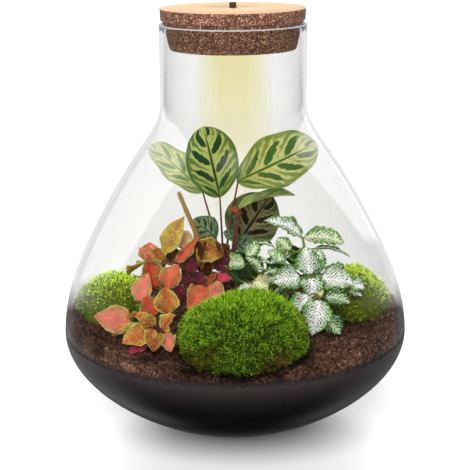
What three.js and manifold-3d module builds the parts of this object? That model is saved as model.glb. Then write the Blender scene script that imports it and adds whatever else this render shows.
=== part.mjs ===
// A planted glass terrarium: a blown glass jar with a stoppered neck, a cordless lamp let into the
// underside of the cork stopper, a drainage layer and soil in the bowl, three moss cushions, and three
// plants, each a rooted stem node with its own leaves.
// Millimetres, +Z up, origin on the table under the middle of the jar. -Y is the front.
import * as THREE from 'three';
import { mergeVertices } from 'three/addons/utils/BufferGeometryUtils.js';
import Module from 'manifold-3d';

// Driving dimensions of the jar
const WIDEST_RADIUS = 123;
const WIDEST_HEIGHT = 72.8;
const FOOT_RADIUS = 35;
const SHOULDER_RADIUS = 88.4;
const SHOULDER_HEIGHT = 168.4;
const NECK_RADIUS = 51.1;
const NECK_BASE_HEIGHT = 236;
const RIM_HEIGHT = 290.2;
const WALL = 3;
const ROUND_SEGMENTS = 48;
const CURVE_STEPS = 5;

// Driving dimensions of the stopper and its lamp
const STOPPER_TOP = 300.5;
const STOPPER_RADIUS = 50.2;
const STOPPER_UNDERSIDE = 292;
const PLUG_TOP_RADIUS = 48.1;
const PLUG_FOOT_RADIUS = 43.8;
const PLUG_FOOT = 273;
const LAMP_POCKET_RADIUS = 30;
const LAMP_POCKET_TOP = 286;
const STEM_BORE_RADIUS = 2.5;
const SWITCH_WIDTH = 4.8;
const SWITCH_HEIGHT = 3.2;

// Driving dimensions of the filling
const DRAINAGE_HEIGHT = 22;
const SOIL_HEIGHT = 78;
const ROOT_DEPTH = 20;

// Clearance between pieces that rest on or in each other
const SEAT_GAP = 0.3;
const FILL_GAP = 0.4;

const wasm = await Module();
wasm.setup();

const model = new THREE.Group();
model.name = 'glass_plant_terrarium';

/** Adds a piece to the model under its own name and finish. */
function addPiece(name, geometry, finish) {
  const mesh = new THREE.Mesh(geometry, finish);
  mesh.name = name;
  model.add(mesh);
  return mesh;
}

/** A finish from the colour, roughness and metalness that the piece shows. */
function finish(color, roughness, metalness = 0) {
  return new THREE.MeshStandardMaterial({ color, roughness, metalness });
}

/** A closed triangle mesh as a solid that can be joined or cut. */
function toSolid(geometry) {
  const bare = geometry.clone();
  bare.deleteAttribute('normal');
  bare.deleteAttribute('uv');
  const merged = mergeVertices(bare, 1e-4);
  const index = merged.getIndex().array;
  const triVerts = [];
  for (let i = 0; i < index.length; i += 3) {
    const corners = [index[i], index[i + 1], index[i + 2]];
    if (new Set(corners).size === 3) triVerts.push(...corners);
  }
  const mesh = new wasm.Mesh({
    numProp: 3,
    vertProperties: Float32Array.from(merged.getAttribute('position').array),
    triVerts: Uint32Array.from(triVerts),
  });
  return new wasm.Manifold(mesh);
}

/** A joined or cut solid back as a geometry. */
function toGeometry(solid) {
  const { vertProperties, triVerts } = solid.getMesh();
  const geometry = new THREE.BufferGeometry();
  geometry.setAttribute('position', new THREE.BufferAttribute(Float32Array.from(vertProperties), 3));
  geometry.setIndex(new THREE.BufferAttribute(Uint32Array.from(triVerts), 1));
  geometry.computeVertexNormals();
  return geometry;
}

/** A turned piece: the profile's points are [radius, height] and start and end on the axis or close. */
function turned(profile, segments = ROUND_SEGMENTS) {
  const points = profile.map(([radius, height]) => new THREE.Vector2(radius, height));
  return new THREE.LatheGeometry(points, segments).rotateX(Math.PI / 2);
}

/** A round bar along a smooth curve through the points given. */
function bar(points, radius, steps, sides = 6) {
  const curve = new THREE.CatmullRomCurve3(points, false, 'centripetal');
  const section = new THREE.Shape();
  for (let i = 0; i < sides; i += 1) {
    const angle = (2 * Math.PI * i) / sides;
    const corner = [radius * Math.cos(angle), radius * Math.sin(angle)];
    if (i === 0) section.moveTo(...corner);
    else section.lineTo(...corner);
  }
  section.closePath();
  return new THREE.ExtrudeGeometry(section, { steps, extrudePath: curve, curveSegments: 1 });
}

const vector = ([x, y, z]) => new THREE.Vector3(x, y, z);

// The jar's outside from foot to rim: a shallow bowl, a rounded widest part, a long sloping shoulder
// and a fillet into the straight neck.
const BOWL = [[FOOT_RADIUS, 0], [75, 12], [WIDEST_RADIUS, 41], [WIDEST_RADIUS, WIDEST_HEIGHT]];
const SHOULDER = [BOWL[3], [WIDEST_RADIUS, 100], [109.5, 131], [SHOULDER_RADIUS, SHOULDER_HEIGHT]];
const FILLET = [SHOULDER[3], [62.6, 213.4], [NECK_RADIUS, 218], [NECK_RADIUS, NECK_BASE_HEIGHT]];

/** Points [radius, height] up the jar's outside, from the foot to the rim. */
function jarOutline() {
  const outline = [];
  for (const corners of [BOWL, SHOULDER, FILLET]) {
    const curve = new THREE.CubicBezierCurve(...corners.map(([r, z]) => new THREE.Vector2(r, z)));
    outline.push(...curve.getPoints(CURVE_STEPS).slice(0, CURVE_STEPS).map((p) => [p.x, p.y]));
  }
  return [...outline, [NECK_RADIUS, NECK_BASE_HEIGHT], [NECK_RADIUS, RIM_HEIGHT]];
}

/** The jar's outline moved towards the inside by a distance square to the wall. */
function inset(outline, distance) {
  return outline.map(([radius, height], i) => {
    const [r0, z0] = outline[Math.max(i - 1, 0)];
    const [r1, z1] = outline[Math.min(i + 1, outline.length - 1)];
    const length = Math.hypot(r1 - r0, z1 - z0);
    const moved = [radius - (distance * (z1 - z0)) / length, height + (distance * (r1 - r0)) / length];
    return i === 0 ? [radius, distance] : moved;
  });
}

/** The stretch of an outline between two heights, with its ends cut exactly at them. */
function between(outline, low, high) {
  const at = (height) => {
    const next = outline.findIndex(([, z]) => z >= height);
    const [r0, z0] = outline[Math.max(next - 1, 0)];
    const [r1, z1] = outline[next];
    return z1 === z0 ? r1 : r0 + ((r1 - r0) * (height - z0)) / (z1 - z0);
  };
  return [[at(low), low], ...outline.filter(([, z]) => z > low && z < high), [at(high), high]];
}

/** The jar: one glass wall, open at the neck, with a rounded rim. */
function buildJar() {
  const outside = jarOutline();
  const inside = inset(outside, WALL);
  inside[inside.length - 1][1] = RIM_HEIGHT - WALL / 2;
  outside[outside.length - 1][1] = RIM_HEIGHT - WALL / 2;
  const shoulder = 0.3 * WALL;
  const drop = 0.13 * WALL;
  const rim = [
    [NECK_RADIUS - shoulder, RIM_HEIGHT - drop],
    [NECK_RADIUS - WALL / 2, RIM_HEIGHT],
    [NECK_RADIUS - WALL + shoulder, RIM_HEIGHT - drop],
  ];
  const wall = [[0, 0], ...outside, ...rim, ...inside.reverse(), [0, WALL]];
  addPiece('glass_jar', turned(wall), finish(0xe8ecec, 0.03));
}

/** The stopper: an overhanging cap and a tapered plug, bored for the lamp and its switch. */
function buildStopper() {
  const foot = 1.6;
  const edge = 0.5;
  const cork = [
    [STEM_BORE_RADIUS, LAMP_POCKET_TOP],
    [LAMP_POCKET_RADIUS, LAMP_POCKET_TOP],
    [LAMP_POCKET_RADIUS, PLUG_FOOT],
    [PLUG_FOOT_RADIUS, PLUG_FOOT],
    [PLUG_TOP_RADIUS, STOPPER_UNDERSIDE],
    [STOPPER_RADIUS - foot, STOPPER_UNDERSIDE],
    [STOPPER_RADIUS - edge, STOPPER_UNDERSIDE + foot],
    [STOPPER_RADIUS, STOPPER_TOP - edge],
    [STOPPER_RADIUS - edge, STOPPER_TOP],
    [STEM_BORE_RADIUS, STOPPER_TOP],
    [STEM_BORE_RADIUS, LAMP_POCKET_TOP],
  ];
  addPiece('cork_stopper', turned(cork), finish(0xa9785a, 0.9));
}

/** An upright disc or bar of round section, by its radius and its two ends. */
function upright(radius, low, high, segments) {
  const cylinder = new THREE.CylinderGeometry(radius, radius, high - low, segments);
  return cylinder.rotateX(Math.PI / 2).translate(0, 0, (low + high) / 2);
}

/** The lamp in the plug: cup, flat cell, board with its light-emitting chips, and lens. */
function buildLamp() {
  const cupRadius = LAMP_POCKET_RADIUS - SEAT_GAP;
  const cupTop = LAMP_POCKET_TOP - SEAT_GAP;
  const cupFoot = PLUG_FOOT + 0.4;
  const cupWall = 2;
  const cup = [
    [STEM_BORE_RADIUS, cupTop],
    [STEM_BORE_RADIUS, cupTop - cupWall],
    [cupRadius - cupWall, cupTop - cupWall],
    [cupRadius - cupWall, cupFoot],
    [cupRadius, cupFoot],
    [cupRadius, cupTop],
    [STEM_BORE_RADIUS, cupTop],
  ];
  addPiece('lamp_housing', turned(cup), finish(0xf2f0ea, 0.45));

  const discRadius = cupRadius - cupWall - SEAT_GAP;
  const boardTop = cupTop - cupWall - 4;
  const boardUnderside = boardTop - 1.6;
  const cellRadius = 9.5;
  const cellHeight = 3.4;
  const cellOffset = 14;
  const cell = upright(cellRadius, boardTop + SEAT_GAP, boardTop + SEAT_GAP + cellHeight, 24);
  addPiece('lamp_battery', cell.translate(cellOffset, 0, 0), finish(0xb8bcc0, 0.3, 1));

  const chipCount = 6;
  const chipRing = 15;
  const chipWidth = 3.5;
  const chipHeight = 1.4;
  const chipSunk = 0.2;
  let board = toSolid(upright(discRadius, boardUnderside, boardTop, 32));
  for (let i = 0; i < chipCount; i += 1) {
    const angle = (2 * Math.PI * i) / chipCount;
    const chip = new THREE.BoxGeometry(chipWidth, chipWidth, chipHeight);
    const height = boardUnderside + chipSunk - chipHeight / 2;
    chip.translate(chipRing * Math.cos(angle), chipRing * Math.sin(angle), height);
    board = board.add(toSolid(chip));
  }
  addPiece('lamp_board', toGeometry(board), finish(0xf5f2e6, 0.5));

  const lensFace = cupFoot + 0.2;
  const lensBack = lensFace + 2.4;
  const lensEdge = 0.8;
  const lens = [
    [0, lensFace],
    [discRadius - lensEdge, lensFace],
    [discRadius, lensFace + lensEdge],
    [discRadius, lensBack],
    [0, lensBack],
  ];
  addPiece('lamp_diffuser', turned(lens, 32), finish(0xfff4c8, 0.35));

  const keyFoot = STOPPER_TOP + SEAT_GAP;
  const overlap = 1;
  const push = upright(STEM_BORE_RADIUS - SEAT_GAP, boardTop + SEAT_GAP, keyFoot + overlap, 16);
  const knob = new THREE.BoxGeometry(SWITCH_WIDTH, SWITCH_WIDTH, SWITCH_HEIGHT);
  const key = toSolid(push).add(toSolid(knob.translate(0, 0, keyFoot + SWITCH_HEIGHT / 2)));
  addPiece('lamp_switch', toGeometry(key), finish(0x5a3a26, 0.6));
}

// Where each plant stands, as [x, y] on the soil, and the radius of its root ball
const CALATHEA_SPOT = { at: [-6, 12], radius: 9 };
const RED_FITTONIA_SPOT = { at: [-46, -44], radius: 8 };
const WHITE_FITTONIA_SPOT = { at: [56, -30], radius: 8 };
const SPOTS = [CALATHEA_SPOT, RED_FITTONIA_SPOT, WHITE_FITTONIA_SPOT];

/** The drainage layer in the foot of the bowl and the soil on it, with a planting hole for each plant. */
function buildFilling() {
  const bed = inset(jarOutline(), WALL + FILL_GAP);
  const floor = bed[0][1];
  const drainage = [[0, floor], ...between(bed, floor, DRAINAGE_HEIGHT), [0, DRAINAGE_HEIGHT]];
  addPiece('drainage_layer', turned(drainage), finish(0x7d5b45, 0.95));

  const soilFoot = DRAINAGE_HEIGHT + SEAT_GAP;
  let soil = toSolid(turned([[0, soilFoot], ...between(bed, soilFoot, SOIL_HEIGHT), [0, SOIL_HEIGHT]]));
  for (const { at, radius } of SPOTS) {
    const depth = ROOT_DEPTH + SEAT_GAP;
    const hole = upright(radius + FILL_GAP, SOIL_HEIGHT - depth, SOIL_HEIGHT + depth, 20);
    soil = soil.subtract(toSolid(hole.translate(at[0], at[1], 0)));
  }
  addPiece('soil_bed', toGeometry(soil), finish(0x4a3329, 1));
}

/**
 * A moss cushion: a domed pad on the soil, a little lobed in plan and widest just above its foot. size
 * is [half-width, half-depth, height], and lobe turns its lobes.
 */
function buildMoss(name, at, size, lobe) {
  const [halfWidth, halfDepth, height] = size;
  const footShare = 0.93;
  const waist = 0.16;
  const steps = 6;
  const profile = [[0, 0], [footShare, 0]];
  for (let i = 0; i < steps; i += 1) {
    const angle = (Math.PI / 2) * (i / steps);
    profile.push([Math.cos(angle) ** 0.85, waist + (1 - waist) * Math.sin(angle) ** 0.95]);
  }
  profile.push([0, 1]);
  const pad = turned(profile, 24);
  const position = pad.getAttribute('position');
  for (let i = 0; i < position.count; i += 1) {
    const x = position.getX(i);
    const y = position.getY(i);
    const angle = Math.atan2(y, x);
    const swell = 1 + 0.045 * Math.sin(3 * angle + lobe) + 0.025 * Math.sin(5 * angle + 2 * lobe);
    position.setXYZ(i, x * swell * halfWidth, y * swell * halfDepth, position.getZ(i) * height);
  }
  const piece = addPiece(name, pad, finish(0x6f9a1e, 1));
  piece.position.set(at[0], at[1], SOIL_HEIGHT + SEAT_GAP);
}

// The way that most leaves turn their upper face: up and to the front
const FACE_WAY = new THREE.Vector3(0, -0.75, 0.66).normalize();

// Leaf outlines: half-width at a share s of the length, as a share of the greatest half-width
const OUTLINE = {
  broad: (s) => Math.sin(Math.PI * s ** 0.92) ** 0.62,
  oval: (s) => Math.sin(Math.PI * s ** 0.8) ** 0.8,
};
const LEAF_STATIONS = [0.05, 0.2, 0.4, 0.6, 0.8, 0.94];

/**
 * A leaf as a thin lens: a point at the base and at the tip, and at each station a left edge, a crown,
 * a right edge and an underside. arch is the midrib's rise as a share of the length, roll turns the
 * face about the midrib in degrees, and cup lifts the edges as a share of the half-width.
 */
function leafGeometry({ base, tip, width, arch, roll, cup, thickness, outline }) {
  const start = vector(base);
  const end = vector(tip);
  const along = end.clone().sub(start);
  const length = along.length();
  along.normalize();
  const face = FACE_WAY.clone().addScaledVector(along, -FACE_WAY.dot(along)).normalize();
  face.applyAxisAngle(along, THREE.MathUtils.degToRad(roll));
  const middle = start.clone().lerp(end, 0.5).addScaledVector(face, 2 * arch * length);
  const midrib = new THREE.QuadraticBezierCurve3(start, middle, end);
  const side = along.clone().cross(face).normalize();

  const points = [start];
  for (const s of LEAF_STATIONS) {
    const centre = midrib.getPoint(s);
    const up = side.clone().cross(midrib.getTangent(s)).normalize();
    const half = (width / 2) * OUTLINE[outline](s);
    const edge = centre.clone().addScaledVector(up, cup * half);
    const body = (thickness / 2) * Math.min(1, 0.4 + half / (width / 2));
    points.push(edge.clone().addScaledVector(side, half));
    points.push(centre.clone().addScaledVector(up, body));
    points.push(edge.clone().addScaledVector(side, -half));
    points.push(centre.clone().addScaledVector(up, -body));
  }
  points.push(end);

  const triangles = [];
  const last = points.length - 1;
  for (let k = 0; k < 4; k += 1) {
    const next = (k + 1) % 4;
    triangles.push(0, 1 + k, 1 + next);
    for (let ring = 0; ring < LEAF_STATIONS.length - 1; ring += 1) {
      const a = 1 + 4 * ring + k;
      const b = 1 + 4 * ring + next;
      triangles.push(a, b + 4, b, a, a + 4, b + 4);
    }
    triangles.push(last, last - 4 + next, last - 4 + k);
  }
  const geometry = new THREE.BufferGeometry();
  const corners = points.flatMap((point) => point.toArray());
  geometry.setAttribute('position', new THREE.Float32BufferAttribute(corners, 3));
  geometry.setIndex(triangles);
  geometry.computeVertexNormals();
  return geometry;
}

/** The point on a plant's stems that lies nearest to a place, among close samples of every run. */
function nearestOnRuns(runs, place) {
  let best = null;
  for (const { through } of runs) {
    const curve = new THREE.CatmullRomCurve3(through.map(vector), false, 'centripetal');
    for (const point of curve.getPoints(40)) {
      if (!best || point.distanceTo(place) < best.distanceTo(place)) best = point;
    }
  }
  return best;
}

/**
 * A plant: one node of root ball, stems and leaf stalks grown together, and a node for each leaf. A
 * stalk leaves the nearest stem, swings towards the line of its leaf over stalkCurve of its length and
 * ends a seat's gap short of the leaf.
 */
function buildPlant({ name, spot, runs, stalkRadius, stalkCurve, leaves, shape, stemFinish, leafFinish }) {
  const [x, y] = spot.at;
  const rootBall = [
    [0, -ROOT_DEPTH],
    [spot.radius - 2, -ROOT_DEPTH],
    [spot.radius, 4 - ROOT_DEPTH],
    [spot.radius, -1],
    [spot.radius - 4, 1.6],
    [0, 2.4],
  ];
  let stems = toSolid(turned(rootBall, 16).translate(x, y, SOIL_HEIGHT));
  for (const { through, radius } of runs) {
    stems = stems.add(toSolid(bar(through.map(vector), radius, 2 * through.length)));
  }
  for (const own of leaves) {
    const leaf = { ...shape, ...own };
    const end = vector(leaf.base);
    const root = leaf.stalkFrom ? vector(leaf.stalkFrom) : nearestOnRuns(runs, end);
    const reach = end.distanceTo(root);
    const along = vector(leaf.tip).sub(end).normalize();
    const approach = end.clone().addScaledVector(along, -stalkCurve * reach);
    const bend = root.clone().lerp(end, 0.5).lerp(approach, stalkCurve);
    const stop = end.clone().addScaledVector(end.clone().sub(bend).normalize(), -SEAT_GAP);
    const steps = THREE.MathUtils.clamp(Math.round(reach / 6), 3, 9);
    stems = stems.add(toSolid(bar([root, bend, stop], leaf.stalkRadius ?? stalkRadius, steps, 5)));
    addPiece(`${name}_leaf_${leaf.key}`, leafGeometry(leaf), leafFinish);
  }
  addPiece(`${name}_stems`, toGeometry(stems), stemFinish);
}

/** The peacock calathea at the back: long stalks from one crown, broad leaves that face the front. */
function buildCalathea() {
  const crown = [-8, 9, 110];
  const shoot = [0, -2, 118];
  const runs = [
    { through: [[-6, 12, 76], [-7, 11, 92], crown], radius: 2.4 },
    { through: [[-4, 11, 76], [-2, 4, 96], shoot], radius: 1.7 },
  ];
  const folded = { stalkFrom: shoot, stalkRadius: 1.3, arch: 0.08, roll: -45, cup: 0.3 };
  const leaves = [
    { key: 'front', base: [-10, -4, 168], tip: [-21, -12, 220], width: 37, arch: 0.03 },
    { key: 'left', base: [-20, 8, 167], tip: [-59, 15, 202], width: 31, arch: 0.05 },
    { key: 'right', base: [2, 2, 180], tip: [56, 7, 208], width: 40, arch: -0.02 },
    { key: 'folded', base: [3, -6, 160], tip: [42, -2, 169], width: 19, ...folded },
    { key: 'dark', base: [3, 14, 133], tip: [30, 24, 163], width: 35, arch: 0.02 },
    { key: 'low_left', base: [-13, 1, 137], tip: [-28, 6, 147], width: 15 },
    { key: 'low_right', base: [-1, 6, 131], tip: [9, 4, 132], width: 10 },
  ];
  buildPlant({
    name: 'calathea', spot: CALATHEA_SPOT, runs, leaves, stalkRadius: 0.95, stalkCurve: 0.08,
    shape: { outline: 'broad', arch: 0.06, roll: 0, cup: 0.12, thickness: 1.2, stalkFrom: crown },
    stemFinish: finish(0x6b3f3a, 0.6), leafFinish: finish(0x4f7a2c, 0.45),
  });
}

/** The red fittonia at the left front: two low rosettes, two taller ones and a bare cut stem. */
function buildRedFittonia() {
  const fork = [-48, -43, 92];
  const runs = [
    { through: [[-46, -44, 76], fork, [-51, -40, 110], [-50, -31, 121], [-48, -23, 129]], radius: 1.4 },
    { through: [fork, [-52, -56, 92], [-52, -67, 92]], radius: 1.3 },
    { through: [fork, [-57, -54, 91], [-65, -63, 93]], radius: 1.2 },
    { through: [fork, [-34, -28, 112], [-26, -16, 128], [-27, -12, 143], [-39, -8, 173]], radius: 1.3 },
    { through: [[-34, -28, 112], [-27, -31, 113], [-22, -33, 112]], radius: 1.1 },
  ];
  const leaves = [
    { key: 'a', base: [-70, -62, 94], tip: [-94, -66, 101], width: 16 },
    { key: 'b', base: [-65, -50, 106], tip: [-59, -44, 125], width: 12 },
    { key: 'c', base: [-47, -41, 113], tip: [-39, -35, 129], width: 14 },
    { key: 'd', base: [-55, -38, 112], tip: [-60, -31, 133], width: 12 },
    { key: 'e', base: [-62, -28, 128], tip: [-74, -32, 123], width: 14 },
    { key: 'f', base: [-60, -23, 131], tip: [-59, -19, 141], width: 10 },
    { key: 'h', base: [-47, -20, 131], tip: [-34, -16, 159], width: 13 },
    { key: 'i', base: [-36, -12, 133], tip: [-31, -6, 145], width: 11 },
    { key: 'j', base: [-41, -27, 127], tip: [-25, -22, 145], width: 6.5, roll: 25 },
    { key: 'l', base: [-22, -14, 124], tip: [-11, -20, 139], width: 14 },
    { key: 'm', base: [-21, -36, 112], tip: [-31, -51, 101], width: 12 },
    { key: 'n', base: [-19, -34, 112], tip: [-9, -43, 106], width: 11 },
    { key: 'o', base: [-44, -57, 101], tip: [-46, -53, 117], width: 15 },
    { key: 'p', base: [-55, -59, 99], tip: [-61, -55, 112], width: 11 },
    { key: 'q', base: [-54, -68, 93], tip: [-65, -66, 98], width: 9.5 },
    { key: 'r', base: [-48, -69, 94], tip: [-44, -67, 104], width: 11 },
    { key: 's', base: [-57, -72, 90], tip: [-75, -80, 88], width: 11 },
    { key: 't', base: [-53, -73, 91], tip: [-54, -84, 83], width: 10 },
    { key: 'u', base: [-48, -71, 90], tip: [-42, -82, 82], width: 10 },
    { key: 'v', base: [-59, -68, 83], tip: [-71, -80, 80], width: 7 },
    { key: 'w', base: [-19, -28, 112], tip: [-1, -33, 118], width: 9.5 },
  ];
  buildPlant({
    name: 'red_fittonia', spot: RED_FITTONIA_SPOT, runs, leaves, stalkRadius: 0.8, stalkCurve: 0.5,
    shape: { outline: 'oval', arch: 0.08, roll: 0, cup: 0.18, thickness: 1 },
    stemFinish: finish(0x8a6a3a, 0.7), leafFinish: finish(0xd8625a, 0.5),
  });
}

/** The white-veined fittonia at the right: one upright shoot with rosettes and a low shoot to the left. */
function buildWhiteFittonia() {
  const fork = [55, -27, 92];
  const runs = [
    { through: [[56, -30, 76], fork, [53, -17, 113], [51, -7, 126], [49, 0, 136]], radius: 1.4 },
    { through: [fork, [58, -35, 98], [59, -38, 105]], radius: 1.2 },
    { through: [fork, [40, -20, 98], [24, -12, 108], [9, -7, 121]], radius: 1.2 },
    { through: [[24, -12, 108], [19, -16, 111], [15, -20, 112]], radius: 0.9 },
    { through: [fork, [70, -21, 99], [79, -17, 105]], radius: 0.9 },
  ];
  const leaves = [
    { key: 'a', base: [48, 0, 137], tip: [21, -4, 150], width: 10, arch: 0.2 },
    { key: 'b', base: [50, 0, 137], tip: [79, -2, 133], width: 11, arch: 0.2 },
    { key: 'c', base: [53, -18, 115], tip: [50, -12, 134], width: 15 },
    { key: 'd', base: [57, -10, 113], tip: [61, -2, 130], width: 12 },
    { key: 'e', base: [46, 1, 118], tip: [42, 8, 131], width: 9 },
    { key: 'f', base: [37, -4, 125], tip: [25, -10, 121], width: 7.5 },
    { key: 'g', base: [46, -19, 114], tip: [26, -25, 112], width: 15 },
    { key: 'h', base: [54, -21, 113], tip: [54, -31, 102], width: 13 },
    { key: 'i', base: [61, -22, 113], tip: [83, -26, 112], width: 17 },
    { key: 'j', base: [82, -16, 107], tip: [92, -18, 105], width: 9 },
    { key: 'k', base: [52, -38, 106], tip: [41, -46, 94], width: 12 },
    { key: 'l', base: [58, -43, 104], tip: [53, -59, 84], width: 18 },
    { key: 'm', base: [64, -42, 90], tip: [72, -51, 82], width: 11 },
    { key: 'n', base: [63, -35, 104], tip: [80, -39, 101], width: 11 },
    { key: 'o', base: [14, -22, 112], tip: [24, -28, 109], width: 10 },
    { key: 'p', base: [7, -9, 120], tip: [-11, -13, 123], width: 9 },
    { key: 'q', base: [10, -5, 123], tip: [17, 2, 134], width: 9 },
  ];
  buildPlant({
    name: 'white_fittonia', spot: WHITE_FITTONIA_SPOT, runs, leaves, stalkRadius: 0.8, stalkCurve: 0.5,
    shape: { outline: 'oval', arch: 0.08, roll: 0, cup: 0.16, thickness: 1 },
    stemFinish: finish(0x8fa65a, 0.6), leafFinish: finish(0xdfe8cf, 0.5),
  });
}

buildJar();
buildStopper();
buildLamp();
buildFilling();
buildMoss('moss_front', [4, -77], [43, 38, 41], 0.6);
buildMoss('moss_left', [-88, 4], [27, 34, 32], 2.1);
buildMoss('moss_right', [89, 12], [27, 34, 35], 4.2);
buildCalathea();
buildRedFittonia();
buildWhiteFittonia();

export default model;
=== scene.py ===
"""Looks of a planted glass terrarium: a blown glass jar with a smoke-black bowl, a cork stopper with a
lamp in its underside, fibrous soil, three moss cushions, a peacock calathea and two fittonias.

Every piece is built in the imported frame: +Z up, -Y to the front, the table at zero. Lengths are in
metres, apart from those that are said to be in millimetres.
"""

import logging
import math
from collections.abc import Callable, Iterable, Sequence
from dataclasses import dataclass, field, replace
from enum import Enum
from functools import partial

import bpy
import numpy as np
from mathutils import Matrix, Vector, noise


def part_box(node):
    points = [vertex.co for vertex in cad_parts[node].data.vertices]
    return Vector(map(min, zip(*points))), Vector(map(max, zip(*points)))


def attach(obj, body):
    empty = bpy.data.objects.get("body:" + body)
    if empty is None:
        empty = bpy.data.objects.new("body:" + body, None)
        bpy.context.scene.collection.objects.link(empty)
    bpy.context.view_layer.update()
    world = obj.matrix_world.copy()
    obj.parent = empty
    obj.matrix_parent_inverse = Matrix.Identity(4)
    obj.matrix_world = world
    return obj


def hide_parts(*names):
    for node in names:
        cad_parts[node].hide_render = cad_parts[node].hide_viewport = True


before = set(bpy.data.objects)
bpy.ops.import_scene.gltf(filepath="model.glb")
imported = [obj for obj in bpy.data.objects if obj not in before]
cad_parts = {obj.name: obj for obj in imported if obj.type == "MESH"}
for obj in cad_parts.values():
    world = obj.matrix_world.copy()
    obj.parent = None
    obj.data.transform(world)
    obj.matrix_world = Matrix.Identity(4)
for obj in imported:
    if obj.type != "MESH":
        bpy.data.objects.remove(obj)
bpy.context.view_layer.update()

LOG = logging.getLogger("terrarium")
MM = 0.001
BODY = "root"
PHOTO_WIDTH = 470

# Range that holds most values of a noise texture
NOISE_SPAN = (0.3, 0.7)

# Radius of the smallest ring, which stands for a point on the axis
ON_AXIS = 1e-6

# Direction that most leaves face: up and to the front
FACE_WAY = np.array([0.0, -0.75, 0.66])

# Rows and columns of corners on a calathea leaf, a fittonia leaf and a small leaf
LARGE_GRID, USUAL_GRID, SMALL_GRID = (60, 31), (32, 17), (18, 9)

Feed = bpy.types.Node | bpy.types.NodeSocket | float | str | tuple[float, ...]
Feeds = dict[str, Feed] | Sequence[Feed]
Adder = Callable[..., bpy.types.Node]
Place = tuple[float, float, float]
STILL: Place = (0.0, 0.0, 0.0)


def linear(code: str) -> tuple[float, float, float, float]:
    """Turns an sRGB hex colour to linear light.

    Args:
        code: the colour as "#rrggbb".

    Returns:
        Linear red, green, blue and an alpha of one.
    """
    shares = [int(code[i : i + 2], 16) / 255 for i in (1, 3, 5)]
    red, green, blue = [s / 12.92 if s <= 0.04045 else ((s + 0.055) / 1.055) ** 2.4 for s in shares]
    return red, green, blue, 1.0


def add_node(
    tree: bpy.types.NodeTree,
    kind: str,
    feeds: Feeds = (),
    stops: Sequence[tuple[float, str]] = (),
    **settings: object,
) -> bpy.types.Node:
    """Adds a node to a material with its settings, values and links.

    Args:
        tree: the material's node tree.
        kind: the node's type name after "ShaderNode", then its operation or data type, if it has one.
        feeds: what each input takes, by name or in order: a node, a socket, a number or a hex colour.
        stops: a colour ramp's stops, as place and hex colour, lowest first.
        settings: the node's own options.

    Returns:
        The new node.
    """
    type_name, _, choice = kind.partition(" ")
    node = tree.nodes.new("ShaderNode" + type_name)
    if choice:
        setattr(node, "data_type" if type_name == "Mix" else "operation", choice)
    for option, value in settings.items():
        setattr(node, option, value)
    for i, (place, colour) in enumerate(stops):
        elements = node.color_ramp.elements
        stop = elements[i] if i < 2 else elements.new(place)
        stop.position = place
        stop.color = linear(colour)
    sockets = [s for s in node.inputs if s.enabled]
    pairs = feeds.items() if isinstance(feeds, dict) else enumerate(feeds)
    for key, feed in pairs:
        socket = sockets[key] if isinstance(key, int) else next(s for s in sockets if s.name == key)
        if isinstance(feed, bpy.types.Node):
            feed = next(s for s in feed.outputs if s.enabled)
        if isinstance(feed, bpy.types.NodeSocket):
            tree.links.new(feed, socket)
        else:
            socket.default_value = linear(feed) if isinstance(feed, str) else feed
    return node


@dataclass(frozen=True)
class Finish:
    """A surface finish, made into one material the first time that a piece asks for it.

    Attributes:
        name: the material's name.
    """

    name: str

    def material(self) -> bpy.types.Material:
        """Returns the finish's material, made at the first call."""
        found = bpy.data.materials.get(self.name)
        if found is not None:
            return found
        made = bpy.data.materials.new(self.name)
        made.use_nodes = True
        made.node_tree.nodes.clear()
        add = partial(add_node, made.node_tree)
        add("OutputMaterial", [self.surface(add)])
        return made

    def surface(self, add: Adder) -> bpy.types.Node:
        """Adds the finish's nodes.

        Args:
            add: adds a node to the material, as add_node does.

        Returns:
            The shader for the whole surface.
        """
        raise NotImplementedError


@dataclass(frozen=True)
class BlownGlass(Finish):
    """Clear soda-lime glass, mould-blown with a fire-polished rim.

    The eye gets a smooth clear wall, a faint grey that deepens where the line of sight runs along the
    wall, and soft reflections. Lamp light and light scattered by the plants pass straight through.

    Attributes:
        tint: what one wall lets through.
        light_tint: what it lets through of the light that falls on the plants.
        ior: soda-lime glass.
        roughness: a polished surface.
        rim_highlight_height: height of the painted highlight, a pale line round the rim.
        rim_highlight_width: how far from its middle the highlight begins to fade, and where it ends.
        rim_highlight_strength: the painted highlight's strength.
        rim_highlight_colour: its colour.
    """

    tint: str = "#ebebea"
    light_tint: str = "#f3f3f2"
    ior: float = 1.5
    roughness: float = 0.0
    rim_highlight_height: float = 289.6 * MM
    rim_highlight_width: tuple[float, float] = (0.25 * MM, 0.6 * MM)
    rim_highlight_strength: float = 0.38
    rim_highlight_colour: str = "#f6f6f8"

    def surface(self, add: Adder) -> bpy.types.Node:
        """Adds the glass and its stand-in for lamp light. See Finish.surface."""
        wall = {"Base Color": self.tint, "Roughness": self.roughness, "IOR": self.ior}
        clean = add("BsdfPrincipled", wall | {"Transmission Weight": 1.0})
        # painted highlight: a pale diffuse line round the rim, for the light the rounded rim gathers
        height = add("SeparateXYZ", [add("TexCoord").outputs["Object"]]).outputs["Z"]
        away = add("Math ABSOLUTE", [add("Math SUBTRACT", [height, self.rim_highlight_height])])
        line = add("MapRange", [away, *self.rim_highlight_width, self.rim_highlight_strength, 0.0])
        glass = add("MixShader", [line, clean, add("BsdfDiffuse", [self.rim_highlight_colour])])
        clear = add("BsdfTransparent", [self.light_tint])
        path = add("LightPath")
        lamps = add("MixShader", [path.outputs["Is Shadow Ray"], glass, clear])
        return add("MixShader", [path.outputs["Is Diffuse Ray"], lamps, clear])


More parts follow.
